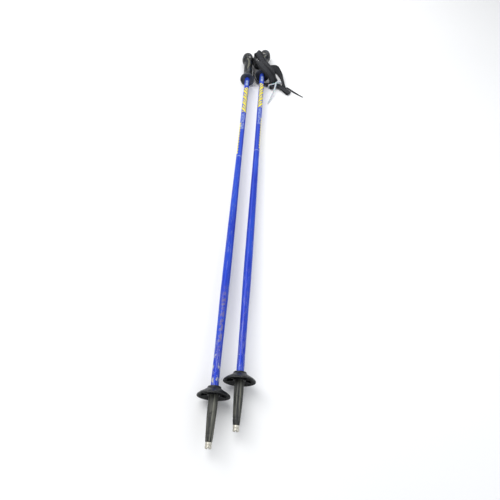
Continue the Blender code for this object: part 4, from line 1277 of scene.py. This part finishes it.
def make_slider(side):
    """A moulded buckle block with rounded edges, a slot for the webbing and grip ribs on its faces."""
    node = f"{side}_strap_slider"
    low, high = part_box(node)
    body = block(f"{side}_ribbed_slider", low, high, 0.0016, 5)
    middle = (low + high) / 2
    slot = Vector((0.006, STRAP_THICKNESS / 2 + 0.0010, STRAP_WIDTH / 2 + 0.0012))
    cutters = [block("slot", middle - slot, middle + slot)]
    for index in range(5):
        height = middle.z + (index - 2) * 0.0034
        for face_y in (low.y, high.y):
            groove = Vector((0.006, 0.00035, 0.0006))
            centre = Vector((middle.x, face_y, height))
            cutters.append(block("groove", centre - groove, centre + groove))
    combine(body, cutters)
    finish_piece(body, "slider", f"{side}_slider", [node])


# ---- Cable tie ----


TIE_TOOTH_PITCH = 0.0014


def band_rings(points, across, normal, width, thickness, raised=None):
    """Rounded rectangular sections along a path: arrays of middle points, width and face directions."""
    half_w, half_t = np.asarray(width) / 2, thickness / 2
    corner = 0.0003
    outline = []
    for sign_w, sign_t, start in ((1, 1, 0), (-1, 1, 90), (-1, -1, 180), (1, -1, 270)):
        for step in range(4):
            turn = math.radians(start + 30 * step)
            outline.append((sign_w, sign_t, math.cos(turn) * corner, math.sin(turn) * corner))
    rings = []
    for index, point in enumerate(points):
        half = half_w if np.ndim(half_w) == 0 else half_w[index]
        lift = 0.0 if raised is None else raised[index]
        ring = []
        for sign_w, sign_t, round_w, round_t in outline:
            sideways = sign_w * (half - corner) + round_w
            outwards = sign_t * (half_t - corner) + round_t + (lift if sign_t > 0 else 0.0)
            ring.append(point + across[index] * sideways + normal[index] * outwards)
        rings.append(ring)
    return np.array(rings)


def make_cable_tie():
    shift = np.array(SHIFT)
    flat = TIE_HALF_LENGTH - TIE_CORNER
    rise = TIE_HALF_HEIGHT - TIE_CORNER
    places, outs = [], []
    for across, up, start in ((flat, rise, 0), (-flat, rise, 90), (-flat, -rise, 180), (flat, -rise, 270)):
        for step in range(13):
            turn = math.radians(start + 90 * step / 12)
            out = TIE_ACROSS * math.cos(turn) + UP * math.sin(turn)
            places.append(np.array(TIE_CENTRE + TIE_ACROSS * across + UP * up + out * TIE_CORNER) + shift)
            outs.append(np.array(out))
    across = np.repeat(np.array(TIE_ALONG)[None, :], len(places), axis=0)
    rings = band_rings(places, across, outs, TIE_WIDTH, TIE_THICKNESS)
    loop = loft("moulded_cable_tie", rings, loop=True)

    top = TIE_CENTRE.z + TIE_HALF_HEIGHT
    size = TIE_HEAD_SIZE
    turn = Matrix.Rotation(math.atan2(TIE_ACROSS.y, TIE_ACROSS.x), 4, "Z")
    place = tie_place(0.001, TIE_HEAD_PLACE, top) + SHIFT
    head_low = (-size.x / 2, -size.y / 2, -TIE_THICKNESS / 2)
    head = block("tie_head", head_low, (size.x / 2, size.y / 2, size.z), 0.0009, 4)
    moved(head, Matrix.Translation(place) @ turn)
    window_low, window_high = (-0.0014, -0.0021, size.z - 0.0012), (0.0024, 0.0021, size.z + 0.001)
    window = block("head_window", window_low, window_high, 0.0004)
    moved(window, Matrix.Translation(place) @ turn)
    combine(head, [window])

    leave = place - SHIFT + UP * size.z / 2
    route = [
        station(*leave, TIE_ALONG, TIE_WIDTH),
        station(*(leave - TIE_ACROSS * size.x), TIE_ALONG, TIE_WIDTH),
        station(0.0880, 1.0220, 0.0150, (0.85, -0.5, 0.0), TIE_WIDTH),
        station(0.0845, 1.0020, 0.0110, (0.95, -0.3, 0.0), TIE_WIDTH),
        station(0.0770, 0.9740, 0.0055, (0.96, -0.28, 0.0), TIE_WIDTH * 0.85),
        station(0.0690, 0.9480, 0.0014, (0.96, -0.28, 0.0), TIE_WIDTH * 0.45),
    ]
    points, _, sideways, normal, width, distance = dense_route(route, 0.0004)
    normal = normal * np.sign(normal[:, 2:3])
    saw = np.mod(distance / TIE_TOOTH_PITCH, 1.0)
    keep = ramp(distance, 0.012, 0.004) * ramp(distance, distance[-1] - 0.010, -0.004)
    raised = -0.00022 * saw * keep
    tail = loft("tie_tail", band_rings(points, sideways, normal, width, TIE_THICKNESS, raised))
    combine(loop, [head, tail], "UNION")
    finish_piece(loop, "nylon", "tied_straps", ["cable_tie"])


# ---- Floor, light and camera ----


def make_floor():
    """A pale studio floor with a faint mottled tone."""
    floor = block("studio_floor", (-3.0, -3.0, -0.02), (3.0, 3.0, -0.0004))
    paint = Paint("studio_floor", Roughness=0.75)
    tone = paint.noise(paint.place, 3.0, 3.0)
    paint.colour(paint.mix(tone, (0.94, 0.945, 0.95), (0.97, 0.97, 0.97)))
    floor.data.materials.append(paint.material)


def area_light(name, place, aim, size, power, colour=(1.0, 1.0, 1.0)):
    light = bpy.data.lights.new(name, "AREA")
    light.shape = "RECTANGLE"
    light.size, light.size_y = size
    light.energy = power
    light.color = colour
    lamp = linked(name, light)
    lamp.location = place
    lamp.rotation_euler = (Vector(aim) - Vector(place)).to_track_quat("-Z", "Y").to_euler()


def make_lights():
    world = bpy.data.worlds.new("studio")
    bpy.context.scene.world = world
    world.use_nodes = True
    sky = world.node_tree.nodes["Background"]
    sky.inputs["Color"].default_value = (0.97, 0.98, 1.0, 1.0)
    sky.inputs["Strength"].default_value = 0.50
    area_light("key", (-0.9, 0.2, 1.6), (0.0, 0.0, 0.0), (1.0, 1.8), 28.0)
    area_light("fill", (1.3, -0.3, 1.2), (0.0, 0.0, 0.0), (0.8, 1.6), 6.0, (0.90, 0.95, 1.0))
    area_light("back", (0.1, 1.6, 0.9), (0.0, 0.4, 0.0), (1.4, 0.6), 5.0)


def make_camera():
    camera = bpy.data.cameras.new("camera")
    camera.lens = CAMERA_LENS
    camera.clip_start = 0.02
    view = linked("camera", camera)
    view.rotation_mode = "YXZ"
    view.location = CAMERA_PLACE
    view.rotation_euler = CAMERA_TURN
    bpy.context.scene.camera = view


make_camera()
for side in SIDES:
    make_shaft(side)
    make_ferrule(side)
    make_tip(side)
    make_basket(side)
    make_grip(side)
    make_cap(side)
    make_inlays(side)
    make_fixing(side)
    make_slider(side)
make_straps()
make_cable_tie()
make_floor()
make_lights()
bpy.context.scene.view_settings.view_transform = "Standard"
